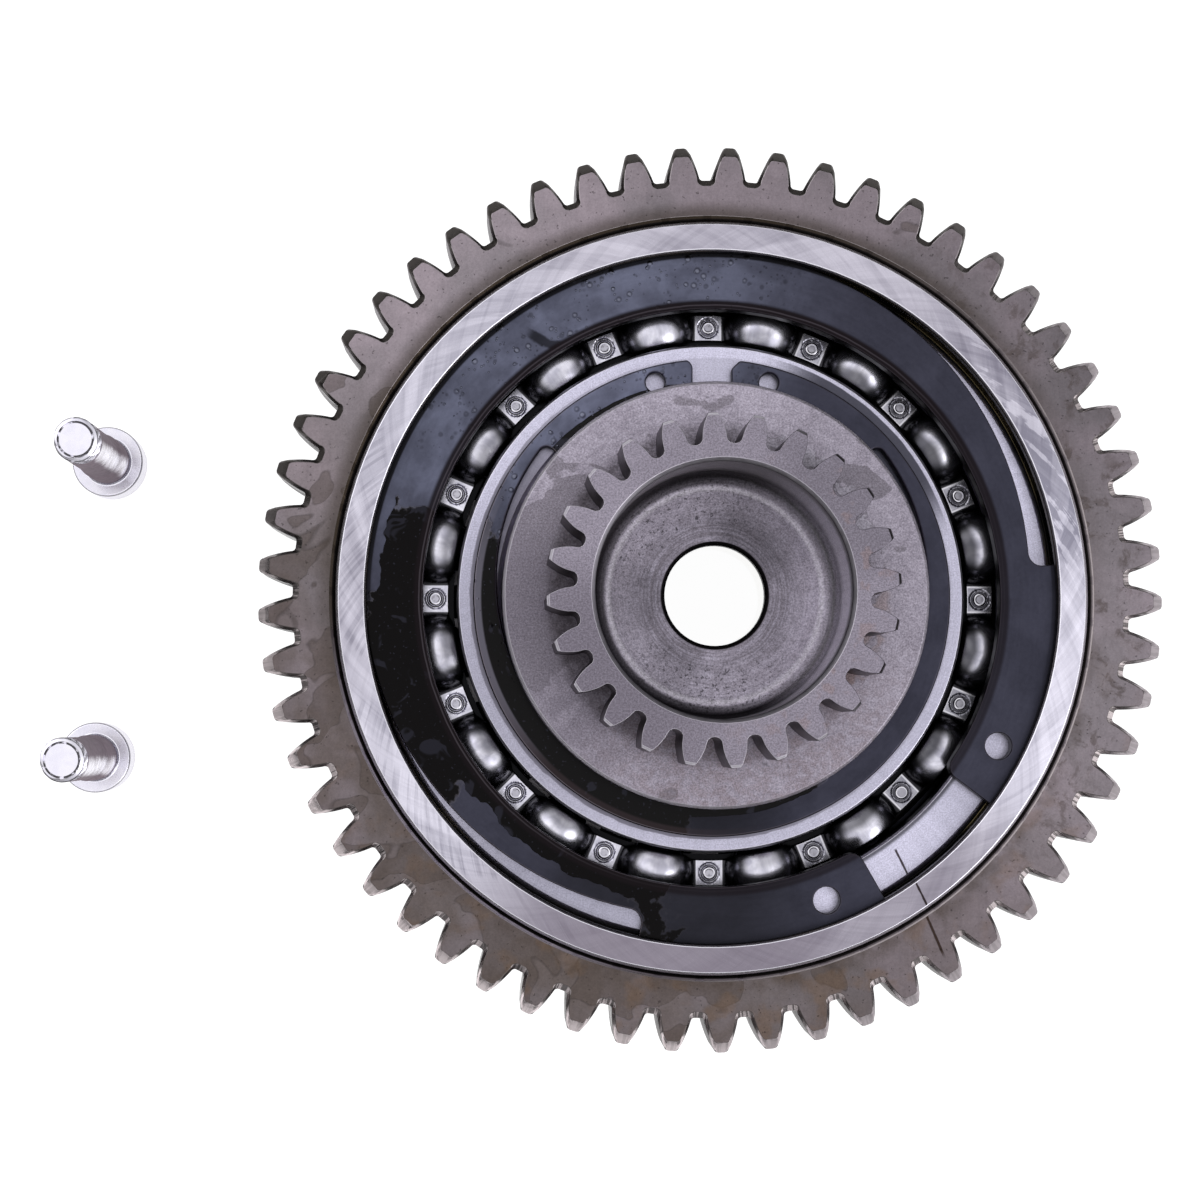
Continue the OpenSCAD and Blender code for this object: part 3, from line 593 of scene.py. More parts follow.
def beads(place, kind):  # round beads of oil in cells of one size, with radii up to a share of it
    size, most = springLook[kind]
    cells = {"Vector": place.at, "Scale": 1 / (size * mm)}
    away = place.at.make("TexVoronoi", {"feature": "F1"}, cells, "Distance")
    reach = between(place.noise(3.1, 2), 0.4, 0.56, 0, most)
    patch = larger(place.sector(114, 32, 14), place.sector(160, 34, 14) * (1 - onBoreRing(place)))
    return between(away / (reach + 0.001), 1.0, 0.0) * patch


def comma(place):  # the dark tail of oil at the upper left
    x, y = place.x - tail["at"][0], place.y - tail["at"][1]
    cos, sin, width = math.cos(tail["turn"]), math.sin(tail["turn"]), tail["width"]
    along, across = x * cos + y * sin, y * cos - x * sin
    bend = across - along * along * tail["curve"] + (place.noise(1.5) - 0.5) * width
    return between(abs(bend), width, width / 2) * between(abs(along), 2.9 * mm, 1.5 * mm) * onBoreRing(place)


def springLine(place):  # a thin painted highlight line round the bore ring's top face
    wander = (place.noise(4, 2) - 0.5) * 0.25 * mm
    return between(abs(place.radius + wander - 38.25 * mm), 0.13 * mm, 0.052 * mm)


def rimStrength(place, full, weak):  # the oil's edge is weaker at the bottom
    return full - weak * place.sector(268, 12, 8)


def springColour(place):
    smudge = between(place.noise(6, 3, 0.5, 0.5), 0.35, 0.65)
    brushed = place.marks(14, place.radius, 0.5, 3)
    grain = place.noise(0.5, 3, 0.6)
    pale = place.sector(124, 26, 36) * (0.6 + 0.4 * smudge)
    colour = blend(pale, springLook["blue"], springLook["pale"])
    colour = shade(colour, 0.6 + 0.34 * grain + 0.2 * smudge + 0.3 * brushed)
    colour = blend(place.sector(262, 18, 14) * 0.62, colour, springLook["thin"])
    colour = blend(comma(place) * 0.8, colour, springLook["oil"])
    spots = between(place.noise(0.4, 1), 0.69, 0.73)
    black = blend(onBoreRing(place), springLook["thin"], springLook["oil"])
    faint = between(place.noise(3.2, 2, 0.5, 1.0), 0.6, 0.66)
    black = blend(larger(spots * 0.4, faint * 0.3), black, springLook["blue"])
    colour = blend(wet(place), colour, black)
    colour = blend(oilRim(place) * rimStrength(place, 0.22, 0.18), colour, springLook["rim"])
    # beads of oil, dark, with a painted highlight in their middles
    drops = larger(beads(place, "beads"), beads(place, "froth"))
    colour = blend(between(drops, 0.04, 0.35) * 0.42, colour, springLook["oil"])
    colour = blend(between(drops, 0.5, 0.85) * 0.5, colour, springLook["drop"])
    bore = onBoreRing(place)
    upper = place.sector(140, 95, 25)
    inner = place.beyond(39.15, 38.6)
    colour = blend(bore * inner * (0.7 + 0.28 * place.sector(90, 80, 40)), colour, springLook["edgeDark"])
    # painted highlight line on the bore ring's top face, strongest at the top
    colour = blend(bore * springLine(place) * (0.02 + 0.17 * upper), colour, springLook["rolledHighlight"])
    # painted shade along the bore ring's outer rim at the top, beside the race
    rim = bore * place.beyond(44.4, 44.65) * place.sector(95, 95, 25)
    colour = blend(rim * 0.92, colour, springLook["oil"])
    sheen = (1 - bore) * place.beyond(30.05, 30.35) * place.sector(188, 24, 16)
    colour = blend(sheen * 0.7, colour, springLook["sheen"])
    colour = shade(colour, 1 + 0.3 * (1 - bore) * place.sector(116, 16, 12))
    brown = (1 - bore) * place.sector(238, 30, 18) * place.beyond(30.1, 30.5)
    colour = blend(brown * 0.35, colour, springLook["brown"])
    # painted highlight on the broken edges, strongest at the left
    rolledHighlight = place.edge * (0.25 + 0.6 * place.sector(200, 70, 40))
    colour = blend(rolledHighlight * 0.7, colour, springLook["rolledHighlight"])
    # painted shade on the upright sides
    return blend(between(place.tilt, 0.45, 0.25), colour, springLook["oil"])


def springRough(place):
    return 0.42 - 0.24 * wet(place) + 0.1 * place.noise(2, 3) - 0.2 * beads(place, "beads")


def springHeight(place):
    drops = beads(place, "beads") * 6 + beads(place, "froth") * 3
    swell = oilRim(place) * rimStrength(place, 2, 1.6) + comma(place) * 3
    return place.noise(0.4, 3) * 0.25 * (1 - wet(place)) + swell + drops


# hub: phosphated forging, mottled collar, worn smooth pinion face, turned counterbore floor
hubLook = {
    "collar": (0.4, 0.365, 0.44), "collarDark": (0.19, 0.17, 0.21), "stain": (0.15, 0.135, 0.16),
    "island": (0.42, 0.4, 0.47), "toothShade": (0.045, 0.036, 0.038), "pinion": (0.285, 0.258, 0.315),
    "floor": (0.38, 0.35, 0.43), "floorDark": (0.19, 0.17, 0.205), "rust": (0.27, 0.19, 0.185),
    "wall": (0.8, 0.77, 0.84), "oil": (0.018, 0.016, 0.018), "lit": (0.62, 0.59, 0.66),
    "wallTop": (0.3, 0.28, 0.29), "reamed": (0.92, 0.92, 0.9),
}
collarHigh = 49.2 * mm
floorHigh = 46.4 * mm


def counterbore(place):  # 1 inside its wall's radius
    return place.beyond(16.35, 16.15)


def pinionFace(place):
    return between(place.z, hubHigh.z - 1.2 * mm, hubHigh.z - 0.5 * mm) * (1 - counterbore(place))


def boreFloor(place):
    return between(place.z, floorHigh + 0.9 * mm, floorHigh + 0.3 * mm) * counterbore(place)


def boreWall(place):
    return counterbore(place) * (1 - between(place.z, floorHigh + 0.9 * mm, floorHigh + 0.3 * mm))


def collarColour(place, mottled, patches):
    sand = between(place.noise(0.6, 4, 0.8), 0.36, 0.64)
    turned = between(place.rings(0.28, 0.6), 0.36, 0.64) * place.sector(160, 70, 40)
    grained = mottled * 0.26 + sand * 0.3 + 0.12 * patches + 0.16 * turned
    collar = blend(grained, hubLook["collar"], hubLook["collarDark"])
    spread = place.noise(8, 3, 0.5, 0.6) + 0.24 * place.sector(168, 22, 22)
    stain = between(spread, 0.62, 0.64)
    collar = blend(stain * 0.68, collar, hubLook["stain"])
    # painted shade on the collar at the left and a painted sheen at the upper left
    collar = blend(place.sector(198, 32, 22) * (0.5 + 0.25 * patches), collar, hubLook["collarDark"])
    collar = shade(collar, 1 + 0.28 * place.sector(118, 44, 20))
    gap = place.within(18, 22.3, 0.6)
    flecks = place.noise(2.2, 3, 0.5, 0.4)
    right = gap * place.sector(28, 52, 20)
    collar = blend(between(flecks, 0.5, 0.53) * right * 0.5, collar, hubLook["island"])
    fringe = between(flecks, 0.47, 0.5) * between(flecks, 0.54, 0.52) * right
    collar = blend(fringe * 0.5, collar, hubLook["stain"])
    rusty = between(flecks, 0.46, 0.6) * gap * place.sector(335, 26, 16)
    collar = blend(rusty * 0.6, collar, hubLook["rust"])
    # painted shade on the collar between the teeth, at the top and left
    toothShade = place.within(16.5, 21.6, 0.9) * place.sector(165, 95, 45) * (0.5 + 0.5 * mottled)
    collar = blend(toothShade * 0.6, collar, hubLook["toothShade"])
    return blend(place.sector(285, 38, 30) * mottled * 0.25, collar, hubLook["rust"])


def floorColour(place, mottled, patches):
    turned = between(place.rings(0.3, 0.8), 0.34, 0.66)
    near = place.beyond(11, 8)
    base = blend(0.5 + (turned - 0.5) * (0.25 + 0.6 * near), hubLook["floorDark"], hubLook["floor"])
    base = blend(mottled * 0.35 + patches * 0.25, base, hubLook["floorDark"])
    specks = between(place.noise(0.42, 2, 0.6), 0.56, 0.68)
    ends = larger(place.sector(115, 50, 30), place.sector(265, 40, 30)) * place.beyond(8, 10)
    base = blend(specks * ends * 0.75, base, hubLook["oil"])
    # painted shade and highlight in sectors round the axis, on a floor that is also lighter outwards
    dark = 0.26 * place.sector(182, 18, 16) + 0.16 * place.sector(240, 14, 14)
    dark = dark + 0.42 * place.sector(55, 26, 22)
    return shade(base, 0.96 + 0.4 * place.beyond(9, 12.5) - dark + 0.2 * place.sector(278, 18, 14))


def hubColour(place):
    wall, floor = boreWall(place), boreFloor(place)
    grain = place.noise(0.24, 4, 0.8)
    mottled = between(place.noise(1.5, 4, 0.75, 0.5), 0.38, 0.62)
    patches = between(place.noise(5.5, 3, 0.6, 0.8), 0.44, 0.56)
    pinion = blend(mottled * 0.2 + 0.14 * patches, hubLook["pinion"], hubLook["collarDark"])
    # painted shade on the pinion's face at the left and the upper right, a painted highlight at the upper
    # left
    pinion = blend(place.sector(218, 36, 26), pinion, hubLook["collarDark"])
    pinion = shade(pinion, 1 - 0.26 * place.sector(38, 24, 18) + 0.14 * place.sector(150, 18, 14))
    rusty = between(place.noise(2.6, 3), 0.56, 0.66) * place.sector(350, 60, 40)
    pinion = blend(rusty * 0.4, pinion, hubLook["rust"])
    # the counterbore's wall: a painted sheen at the right, painted shade round the rest, lighter at the top
    drawn = noise(vector(place.cos * 30, place.sin * 30, 0), 1.0)
    sheen = place.sector(0, 46, 28) * (0.7 + 0.6 * drawn)
    sheen = sheen * between(place.z, hubHigh.z - 1 * mm, hubHigh.z - 4 * mm)
    side = blend(place.sector(95, 60, 36) * 0.9, hubLook["oil"], hubLook["wallTop"])
    side = blend(sheen, side, hubLook["wall"])
    colour = blend(pinionFace(place), collarColour(place, mottled, patches), pinion)
    # painted shade on the teeth's upright flanks
    flank = between(place.tilt, 0.5, 0.2) * between(place.z, collarHigh, collarHigh + 0.2 * mm)
    colour = blend(flank * (1 - wall) * 0.8, colour, hubLook["toothShade"])
    colour = blend(wall, colour, side)
    colour = blend(floor, colour, floorColour(place, mottled, patches))
    # painted shade in the fillet at the wall's foot, lighter at the right
    footShade = between(place.z, floorHigh + 3 * mm, floorHigh + 1 * mm) * place.within(14.3, 16.3, 0.3)
    colour = blend(footShade * (0.3 + 0.55 * place.sector(180, 110, 30)), colour, hubLook["oil"])
    # painted highlight ring at the edge of the counterbore's floor
    colour = blend(floor * place.within(13.5, 14.1, 0.25) * 0.45, colour, hubLook["lit"])
    colour = shade(colour, 0.68 + 0.64 * between(grain, 0.34, 0.66))
    # painted highlights on the pinion's top edges, with painted shade on those at the right
    toothEdge = place.edge * between(place.z, hubHigh.z - 1 * mm, hubHigh.z - 0.6 * mm)
    right = place.sector(10, 62, 20)
    tipLightAndShade = blend(right, hubLook["lit"], hubLook["oil"])
    colour = blend(toothEdge * place.within(21.5, 23), colour, tipLightAndShade)
    colour = blend(toothEdge * place.within(16.8, 21.5) * (0.8 - 0.6 * right), colour, tipLightAndShade)
    # painted highlight on the collar's outer edge, strongest at the left
    onCollar = between(place.z, collarHigh - 0.5 * mm, collarHigh - 0.2 * mm)
    rim = place.edge * place.within(26.9, 27.7) * onCollar
    colour = blend(rim * (0.2 + 0.5 * place.sector(180, 80, 40)), colour, hubLook["lit"])
    # painted highlight on the counterbore's mouth
    colour = blend(toothEdge * place.within(15, 16.8) * 0.7, colour, hubLook["lit"])
    # painted shade on the centre hole's bevel and on its wall above the reamed part
    colour = blend(place.beyond(7.1, 6.95), colour, hubLook["oil"])
    return blend(holeWall(place), colour, hubLook["reamed"])


def holeWall(place):  # the reamed part of the centre hole, which mirrors the floor
    reamed = between(place.z, floorHigh - 1.5 * mm, floorHigh - 2.2 * mm)
    return place.beyond(6.7, 6.6) * reamed


def hubRough(place):
    rough = 0.34 + 0.2 * place.noise(1.2, 3) - 0.03 * pinionFace(place) - 0.06 * boreWall(place)
    return rough * (1 - 0.8 * holeWall(place))


def hubHeight(place):
    grain = place.noise(0.3, 3, 0.7) * (1 - 0.5 * pinionFace(place))
    return (grain + boreFloor(place) * place.rings(0.3, 0.8)) * (1 - holeWall(place))


# screws: bright zinc, duller on the shank, with a painted highlight streak down one side of it
zincLook = {
    "pale": (0.85, 0.83, 0.95), "bright": (0.93, 0.91, 1.0), "shank": (0.3, 0.245, 0.285),
    "highlightStreak": (0.84, 0.82, 0.9), "neck": (0.06, 0.05, 0.058), "threadRootShade": (0.04, 0.034, 0.038),
    "headSide": (0.6, 0.58, 0.65), "headRimShade": (0.12, 0.11, 0.125), "groove": (0.03, 0.027, 0.03),
    "sideLight": (0.92, -0.39), "scatter": 0.92,
}
screwAxes = [sum(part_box(name), Vector()) / 2 for name in ("screw_1", "screw_2")]


def fromScrew(place):  # distance from the axis of the nearer screw
    first, second = screwAxes
    nearer = between(place.y, -1 * mm, 1 * mm)
    x = place.x - (second.x + nearer * (first.x - second.x))
    y = place.y - (second.y + nearer * (first.y - second.y))
    return (x * x + y * y) ** 0.5


def zincCloud(place):
    return place.noise(1.6, 3, 0.6)


def zincShank(place):  # on the shank's side, and where a painted highlight streak runs down it
    along = place.above(6.3, 6.6) * place.above(35.2, 34.8)
    x, y = zincLook["sideLight"]
    facing = place.lean * x + place.lean.beside("Y") * y
    cloud = zincCloud(place)
    highlightStreak = between(facing + 0.16 * (cloud - 0.5), 0.83, 1.03) * place.above(6.9, 8.4)
    return along * between(place.tilt, 0.8, 0.4), highlightStreak


def zincColour(place):
    cloud = zincCloud(place)
    pale = blend(between(cloud, 0.3, 0.7), zincLook["pale"], zincLook["bright"])
    side, highlightStreak = zincShank(place)
    shank = blend(highlightStreak, zincLook["shank"], zincLook["highlightStreak"])
    shank = shade(shank, 0.75 + 0.5 * cloud)
    # painted shade on the shank where it meets the head
    shank = blend(place.above(7.1, 6.7) * 0.75, shank, zincLook["neck"])
    colour = blend(side, pale, shank)
    away = fromScrew(place)
    threads = place.above(31.3, 32.4) * place.above(35.6, 35.3)
    # painted shade in the thread's roots
    colour = blend(threads * between(away, 2.84 * mm, 2.62 * mm) * 0.9, colour, zincLook["threadRootShade"])
    headSide = place.above(5.95, 5.85) * between(away, 4.5 * mm, 4.7 * mm)
    # painted shade on the head's rounded rim
    headRimShade = headSide * place.above(5.5, 5.62)
    colour = blend(headSide * 0.7, colour, zincLook["headSide"])
    colour = blend(headRimShade * 0.8, colour, zincLook["headRimShade"])
    end = place.above(35, 35.3)
    groove = between(abs(away - 2.3 * mm), 0.2 * mm, 0.08 * mm)
    groove = groove + between(away, 2.78 * mm, 2.9 * mm) * 0.9
    broken = between(place.noise(0.9, 2), 0.37, 0.5)
    return blend(end * groove * broken * 0.92, colour, zincLook["groove"])


def zincMetal(place):  # the dull sides of the shank scatter the light
    side, highlightStreak = zincShank(place)
    return 1 - side * (1 - highlightStreak) * zincLook["scatter"]


def zincRough(place):
    return 0.2 + 0.14 * place.noise(0.9, 3)


def zincHeight(place):
    return place.noise(0.8, 2)


# balls: polished; sprags and their cages: hardened and ground
ballLook = {"dark": (0.62, 0.61, 0.66), "bright": (0.8, 0.79, 0.84)}
spragLook = {"dark": (0.3, 0.29, 0.31), "bright": (0.48, 0.46, 0.5)}


def ballColour(place):
    return blend(place.noise(2), ballLook["dark"], ballLook["bright"])


def ballRough(place):
    return 0.06 + 0.06 * place.noise(1)


def spragColour(place):
    return blend(place.noise(1.4, 3), spragLook["dark"], spragLook["bright"])


def spragRough(place):
    return 0.24 + 0.2 * place.noise(0.8, 3)


finishes = {
    "gear_steel": finish("gearSteel", gearColour, gearRough, gearHeight, 0.02 * mm),
    "ground_steel": finish("groundSteel", raceColour, raceRough, raceHeight, 0.004 * mm),
    "bearing_steel": finish("bearingSteel", bearingColour, bearingRough, bearingHeight, 0.003 * mm),
    "cage_steel": finish("cageSteel", cageColour, cageRough, cageHeight, 0.0012 * mm),
    "ball_steel": finish("ballSteel", ballColour, ballRough),
    "spring_steel": finish("springSteel", springColour, springRough, springHeight, 0.02 * mm),
    "hub_steel": finish("hubSteel", hubColour, hubRough, hubHeight, 0.03 * mm),
    "sprag_steel": finish("spragSteel", spragColour, spragRough),
    "screw_zinc": finish("screwZinc", zincColour, zincRough, zincHeight, 0.004 * mm, zincMetal,
                         **{"Specular IOR Level": 0.0}),
}
slotOf = {part["node"]: part["material_slot"] for part in frame["record"]["subparts"]}
bodies = frame["record"]["behaviour"]["bodies"]
bodyOf = {node: body for body, held in bodies.items() for node in held}
for name, node in nodes.items():
    for index in range(len(node.material_slots)):
        node.material_slots[index].link = "OBJECT"
        node.material_slots[index].material = finishes[slotOf[name]]
print("finishes made:", len(finishes))


def linked(name, mesh):  # the bmesh as an object in the scene
    data = bpy.data.meshes.new(name)
    mesh.to_mesh(data)
    mesh.free()
    piece = bpy.data.objects.new(name, data)
    bpy.context.scene.collection.objects.link(piece)
    return piece


def placed(piece, node):  # rides the node's body in place of the node, in that node's finish
    piece.data.materials.append(finishes[slotOf[node]])
    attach(piece, bodyOf[node])
    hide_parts(node)


def skinned(mesh, rings):  # faces between closed rings of points, from the last ring back to the first
    for below, above in zip(rings, rings[1:] + rings[:1]):
        for k in range(len(below)):
            after = (k + 1) % len(below)
            mesh.faces.new((below[k], below[after], above[after], above[k]))


def quarter(steps):  # the angles of a quarter turn
    return [math.pi / 2 * k / steps for k in range(steps + 1)]


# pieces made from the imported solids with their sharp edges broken, as stamping and deburring leave them
deburring = {"weld": 0.0005 * mm, "flat": math.radians(0.4), "sharp": math.radians(38)}


def easedPiece(name, width, steps):
    mesh = bmesh.new()
    mesh.from_mesh(nodes[name].data)
    bmesh.ops.remove_doubles(mesh, verts=mesh.verts, dist=deburring["weld"])
    bmesh.ops.dissolve_limit(mesh, angle_limit=deburring["flat"], verts=mesh.verts, edges=mesh.edges)
    sharp = [edge for edge in mesh.edges
             if len(edge.link_faces) == 2 and edge.calc_face_angle() > deburring["sharp"]]
    bmesh.ops.bevel(mesh, geom=sharp, offset=width, offset_type="OFFSET", segments=steps, profile=0.5,
                    affect="EDGES", clamp_overlap=True, harden_normals=False)
    for face in mesh.faces:
        face.smooth = True
    piece = linked("eased_" + name, mesh)
    weighted = piece.modifiers.new("evenShading", "WEIGHTED_NORMAL")
    weighted.mode, weighted.weight, weighted.keep_sharp = "FACE_AREA", 50, False
    placed(piece, name)
    return piece


# the loose cap screws: lathed grids, with the thread raised on the shank and a hex socket in the head
screw = {
    "columns": 96, "shank": 3.0, "crest": 2.96, "pitch": 1.0, "threadDepth": 0.6, "crestFlat": 0.14,
    "rootFlat": 0.22, "neck": 8.0, "neckRise": 0.2, "neckFillet": 0.35, "head": 6.0, "headRim": 0.28,
    "headEdge": 0.5, "socketAcross": 5.0, "socketDepth": 3.0, "socketTip": 0.9, "socketFlat": 2.4,
    "socketBevel": 0.25, "endFlat": 2.44, "endSlope": 3.4, "row": 0.07, "fade": 1.2, "threaded": 4.5,
    "endSteps": [(0, 0.04), (0.16, 0.1), (0.16, 0.2), (0.03, 0.26)],  # drop, and how far inside the flat
}


def threadRadius(z, turn, top):  # z and top in mm; threaded below the end's chamfer
    wave = abs(2 * ((z / screw["pitch"] - turn / (2 * math.pi)) % 1) - 1)
    flank = min(max((wave - screw["crestFlat"]) / (1 - screw["crestFlat"] - screw["rootFlat"]), 0), 1)
    grown = min(max((z - top + screw["threaded"]) / screw["fade"], 0), 1)
    shank = screw["crest"] - screw["threadDepth"] * flank * grown
    return min(shank, screw["endFlat"] + (top - z) * screw["endSlope"])


def screwRows(low, high):  # pairs of a height in mm and a radius in mm at each turn round the axis
    headRadius, top = (high.x - low.x) / 2 / mm, high.z / mm
    head, edge, rim, fillet = (screw[name] for name in ("head", "headEdge", "headRim", "neckFillet"))
    depth, bevel = screw["socketDepth"], screw["socketBevel"]
    neckRadius, shoulder = screw["shank"] + screw["neckRise"], head + screw["neck"]

    def hexagon(turn):
        return screw["socketAcross"] / 2 / math.cos((turn + math.pi / 6) % (math.pi / 3) - math.pi / 6)

    rows = [(depth + screw["socketTip"], 0.0)]
    rows += [(depth, lambda turn: min(hexagon(turn), screw["socketFlat"])), (depth, hexagon)]
    rows += [(bevel, hexagon), (0.0, lambda turn: hexagon(turn) + bevel)]
    rows += [(edge * (1 - math.cos(a)), headRadius - edge * (1 - math.sin(a))) for a in quarter(5)]
    rows += [(head - rim * (1 - math.sin(a)), headRadius - rim * (1 - math.cos(a))) for a in quarter(5)]
    rows += [(head + fillet * (1 - math.sin(a)), neckRadius + fillet * (1 - math.cos(a)))
             for a in reversed(quarter(5))]
    rows += [(shoulder - 2 * screw["neckRise"], neckRadius)]
    count = round((top - shoulder) / screw["row"])
    for index in range(count + 1):
        z = shoulder + (top - shoulder) * index / count
        rows.append((z, lambda turn, z=z: threadRadius(z, turn, top)))
    rows += [(top - drop, screw["endFlat"] - inset) for drop, inset in screw["endSteps"]]
    rows += [(top - screw["endSteps"][-1][0], 0.0)]
    return rows


def lathed(name, rows, axes, columns, sharp=34):  # closed grids round the axes; a radius of 0 is one point
    mesh = bmesh.new()
    turns = [2 * math.pi * k / columns for k in range(columns)]
    for axis in axes:
        rings = []
        for height, radius in rows:
            if radius == 0:
                rings.append([mesh.verts.new((axis.x, axis.y, height * mm))])
                continue
            sizes = [radius(turn) if callable(radius) else radius for turn in turns]
            ring = [(axis.x + size * math.cos(turn) * mm, axis.y + size * math.sin(turn) * mm, height * mm)
                    for turn, size in zip(turns, sizes)]
            rings.append([mesh.verts.new(point) for point in ring])
        for below, above in zip(rings, rings[1:]):
            for k in range(columns):
                after = (k + 1) % columns
                if len(below) == 1:
                    mesh.faces.new((below[0], above[after], above[k]))
                elif len(above) == 1:
                    mesh.faces.new((below[k], below[after], above[0]))
                else:
                    mesh.faces.new((below[k], below[after], above[after], above[k]))
    return settled(name, mesh, sharp)


def settled(name, mesh, sharp):  # the bmesh as an object, smooth but for edges sharper than so many degrees
    bmesh.ops.recalc_face_normals(mesh, faces=mesh.faces)
    for face in mesh.faces:
        face.smooth = abs(face.normal.z) < 0.9999
    for edge in mesh.edges:
        edge.smooth = len(edge.link_faces) < 2 or edge.calc_face_angle() < math.radians(sharp)
    return linked(name, mesh)


for name in ("screw_1", "screw_2"):
    low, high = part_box(name)
    threaded = lathed("threaded_" + name, screwRows(low, high), [(low + high) / 2], screw["columns"])
    placed(threaded, name)
print("screws threaded")

# ball cages: a pressed ribbon, filleted from its domes to its pads and narrower there, and its rivets
ribbon = {
    "columns": 90, "topRows": 24, "lowRows": 6, "sheet": 0.8, "pocket": 4.119, "fillet": 0.65,
    "domeIn": 2.25, "domeOut": 1.93, "padReach": 1.75, "padFrom": 3.5, "padTo": 4.9, "edge": 0.13,
    "coin": (1.42, 1.28), "coinDepth": 0.2,
}
rivet = {
    "columns": 28, "seat": 0.6, "shank": 0.72, "head": 0.6, "headFlat": 0.64, "headRound": 0.32,
    "dish": 0.05, "dishRim": 0.16,
}


def smoothed(value, low, high):
    share = min(max((value - low) / (high - low), 0), 1)
    return share * share * (3 - 2 * share)


def bent(away, dome, bend, flat):  # height over a ball's centre: a dome, a fillet and the flat, in mm
    centre = math.sqrt((dome + bend) ** 2 - (flat + bend) ** 2)
    if away < centre * dome / (dome + bend):
        return math.sqrt(dome ** 2 - away ** 2)
    if away < centre:
        return flat + bend - math.sqrt(bend ** 2 - (centre - away) ** 2)
    return flat


def ribbonRows():  # share of the way from the inner to the outer edge, inset, drop, and whether on top
    edge, count, low = ribbon["edge"], ribbon["topRows"], ribbon["lowRows"]
    corner = quarter(3)
    rows = [(0, edge * (1 - math.cos(a)), edge * (1 - math.sin(a)), True) for a in corner]
    rows += [(k / count, edge * (1 - 2 * k / count), 0, True) for k in range(1, count)]
    rows += [(1, -edge * (1 - math.sin(a)), edge * (1 - math.cos(a)), True) for a in corner]
    rows += [(1 - k / low, 0, 0, False) for k in range(low + 1)]
    return rows


def pressedRibbon(name, middle, way):  # middle: height of the balls' centres, in mm; way: 1 up, -1 down
    mesh = bmesh.new()
    step = 2 * math.pi / ballCount
    count = ribbon["columns"] * ballCount
    pitch = pitchRadius / mm
    dome, bend, sheet = ribbon["pocket"], ribbon["fillet"], ribbon["sheet"]
    columns = []
    for k in range(count):
        turn = 2 * math.pi * k / count
        offBall = (turn % step) - step / 2
        offRivet = (turn + step / 2) % step - step / 2
        pad = smoothed(abs(offBall) * pitch, ribbon["padFrom"], ribbon["padTo"])
        inner = pitch - ribbon["domeIn"] + pad * (ribbon["domeIn"] - ribbon["padReach"])
        outer = pitch + ribbon["domeOut"] - pad * (ribbon["domeOut"] - ribbon["padReach"])
        column = []
        for share, inset, drop, onTop in ribbonRows():
            radius = inner + share * (outer - inner) + inset
            away = math.hypot(radius * math.cos(offBall) - pitch, radius * math.sin(offBall))
            if onTop:
                height = bent(away, dome + sheet, bend, sheet) - drop
                near = math.hypot(radius * math.cos(offRivet) - pitch, radius * math.sin(offRivet))
                height -= smoothed(near, *ribbon["coin"]) * ribbon["coinDepth"]
            else:
                height = bent(away, dome, bend + sheet, 0)
            x, y = radius * math.cos(turn) * mm, radius * math.sin(turn) * mm
            column.append(mesh.verts.new((x, y, (middle + way * height) * mm)))
        columns.append(column)
    skinned(mesh, columns)
    return settled(name, mesh, sharp=50)


def rivetRows(middle):  # a shank with a flat, softly rounded head at each end
    seat, tip = rivet["seat"], rivet["seat"] + rivet["head"]
    flat, soft = rivet["headFlat"], rivet["headRound"]
    half = [(seat, rivet["shank"]), (seat, flat + soft)]
    half += [(tip - soft * (1 - math.cos(a)), flat + soft * math.sin(a)) for a in reversed(quarter(5))]
    half += [(tip - rivet["dish"], flat - rivet["dishRim"]), (tip - rivet["dish"], 0)]
    rows = [(-height, radius) for height, radius in reversed(half)] + half
    return [(middle + height, radius) for height, radius in rows]


rivetTurns = [2 * math.pi * k / ballCount for k in range(ballCount)]
rivetAxes = [Vector((math.cos(turn), math.sin(turn), 0)) * pitchRadius for turn in rivetTurns]
for side, height, half, way in (("upper", ballHeight, "top", 1), ("lower", lowBallHeight, "bottom", -1)):
    pressed = pressedRibbon(side + "_pressed_ribbon", height / mm, way)
    placed(pressed, side + "_cage_" + half + "_half")
    rivets = lathed(side + "_headed_rivets", rivetRows(height / mm), rivetAxes, rivet["columns"])
    placed(rivets, side + "_cage_rivets")
print("cages pressed and riveted")

# the ring gear: involute teeth with the bevels and the deburred edges that the hob and the lathe leave
gearForm = {
    "teeth": 57, "module": 2.0, "pressure": math.radians(20), "phase": math.radians(-0.658),
    "addendum": 1.0, "dedendum": 1.25, "tipRound": 0.62, "rootFillet": 0.5, "tipBevel": (1.35, 1.3),
    "deburr": 0.34, "rootDeburr": 0.75, "deburrDepth": 0.6, "lip": 0.1, "lipDrop": 0.04,
    "boreBevel": 0.7, "flankSteps": 7, "cornerSteps": 5,
}


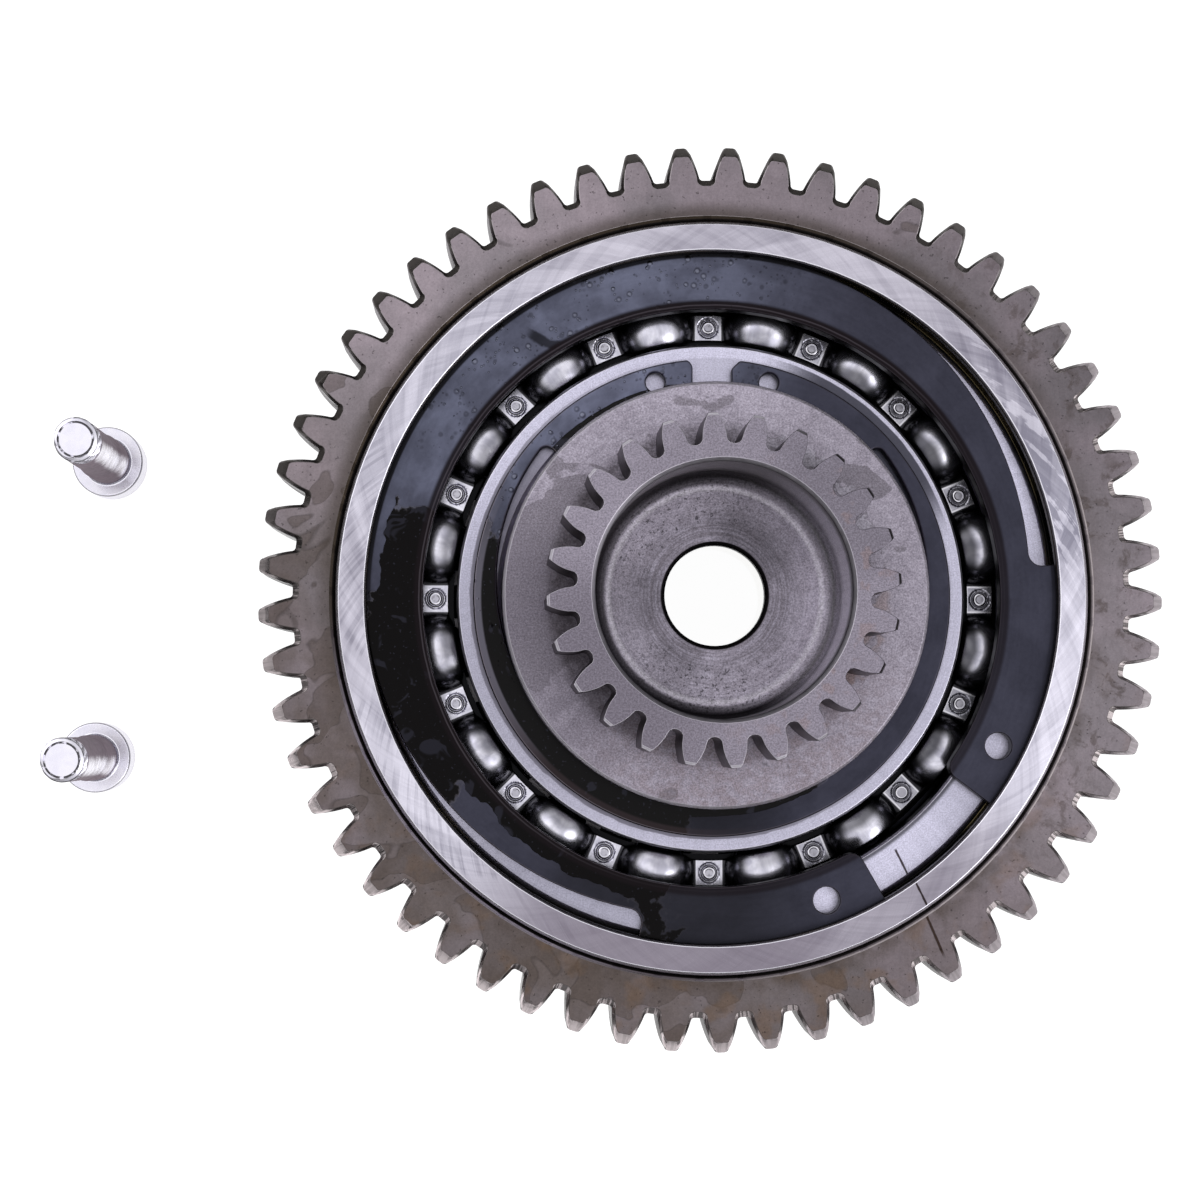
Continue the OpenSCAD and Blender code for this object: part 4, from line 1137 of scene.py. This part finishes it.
def gearOutline(tipCut, inset, rootCut):  # all the teeth's points, in mm, with the flanks set in by inset
    form = gearForm
    teeth, size = form["teeth"], form["module"]
    base = size * teeth / 2 * math.cos(form["pressure"])
    tipRound, fillet = form["tipRound"], form["rootFillet"] + inset * 0.5

    def lean(radius):
        return math.acos(min(1, base / max(radius, base)))

    def involute(angle):
        return math.tan(angle) - angle

    def half(radius):
        return math.pi / 2 / teeth + involute(form["pressure"]) - involute(lean(radius)) - inset / base

    tipCentre = size * (teeth / 2 + form["addendum"]) - tipCut - tipRound
    rootCentre = size * (teeth / 2 - form["dedendum"]) - rootCut + fillet
    tipLean, rootLean = lean(tipCentre), lean(rootCentre)
    tipAcross = tipCentre * math.sin(half(tipCentre)) - tipRound / math.cos(tipLean)
    rootTurn = half(rootCentre) + fillet / math.cos(rootLean) / rootCentre
    side = []
    for k in range(form["cornerSteps"] + 1):
        angle = math.pi / 2 - k / form["cornerSteps"] * (math.pi / 2 - tipLean)
        side.append((tipCentre + tipRound * math.sin(angle), tipAcross + tipRound * math.cos(angle)))
    outer = tipCentre + tipRound * math.sin(tipLean)
    inner = rootCentre - fillet * math.sin(rootLean)
    for k in range(1, form["flankSteps"]):
        radius = outer + k / form["flankSteps"] * (inner - outer)
        side.append((radius * math.cos(half(radius)), radius * math.sin(half(radius))))
    for k in range(form["cornerSteps"] + 1):
        angle = math.pi + rootLean + k / form["cornerSteps"] * (math.pi / 2 - rootLean)
        x, y = rootCentre + fillet * math.sin(angle), fillet * math.cos(angle)
        side.append(Matrix.Rotation(rootTurn, 2) @ Vector((x, y)))
    tooth = [Vector((x, -y)) for x, y in reversed(side)] + [Vector(point) for point in side]
    turns = [form["phase"] + 2 * math.pi * k / teeth for k in range(teeth)]
    return [Matrix.Rotation(turn, 2) @ point for turn in turns for point in tooth]


def gearRows(low, high):  # closed rows of points, from the bore's bottom edge round the section and back
    form = gearForm
    top, bottom, bore = high.z / mm, low.z / mm, raceHigh.x / mm
    cut, drop = form["tipBevel"]
    lip, lipDrop, depth, bevel = (form[name] for name in ("lip", "lipDrop", "deburrDepth", "boreBevel"))
    steps = [  # drop below the end face, tip cut, flank inset, root cut
        (0, cut + lip, form["deburr"] + lip, form["rootDeburr"] + lip),
        (lipDrop, cut, form["deburr"], form["rootDeburr"]),
        (depth, cut * (1 - depth / drop), 0, 0),
        (drop, 0, 0, 0),
    ]
    outlines = [(fall, gearOutline(*shape)) for fall, *shape in steps]
    mouth = [(0, bevel + lip), (lipDrop, bevel), (bevel, 0)]
    turns = [point.normalized() for point in outlines[0][1]]
    rows = [(bottom + fall, [turn * (bore + wide) for turn in turns]) for fall, wide in reversed(mouth)]
    rows += [(bottom + fall, points) for fall, points in outlines]
    rows += [(top - fall, points) for fall, points in reversed(outlines)]
    rows += [(top - fall, [turn * (bore + wide) for turn in turns]) for fall, wide in mouth]
    return rows


gearMesh = bmesh.new()
rings = [[gearMesh.verts.new((point.x * mm, point.y * mm, z * mm)) for point in points]
         for z, points in gearRows(*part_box("ring_gear"))]
skinned(gearMesh, rings)
gear = settled("toothed_ring_gear", gearMesh, sharp=36)
gearShading = gear.modifiers.new("evenShading", "WEIGHTED_NORMAL")
gearShading.keep_sharp = True
placed(gear, "ring_gear")
print("ring gear toothed:", len(gear.data.polygons), "faces")

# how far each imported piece's sharp edges are broken, and in how many steps
easing = {
    "pinion_hub": (0.1 * mm, 2), "outer_race": (0.12 * mm, 3),
    "upper_inner_ring": (0.1 * mm, 2), "upper_outer_ring": (0.1 * mm, 2),
    "upper_bore_retaining_ring": (0.4 * mm, 4), "lower_bore_retaining_ring": (0.4 * mm, 4),
    "upper_shaft_retaining_ring": (0.35 * mm, 4), "lower_shaft_retaining_ring": (0.35 * mm, 4),
}
for name, (width, steps) in easing.items():
    made = easedPiece(name, width, steps)
    print("eased", name, len(made.data.polygons), "faces")
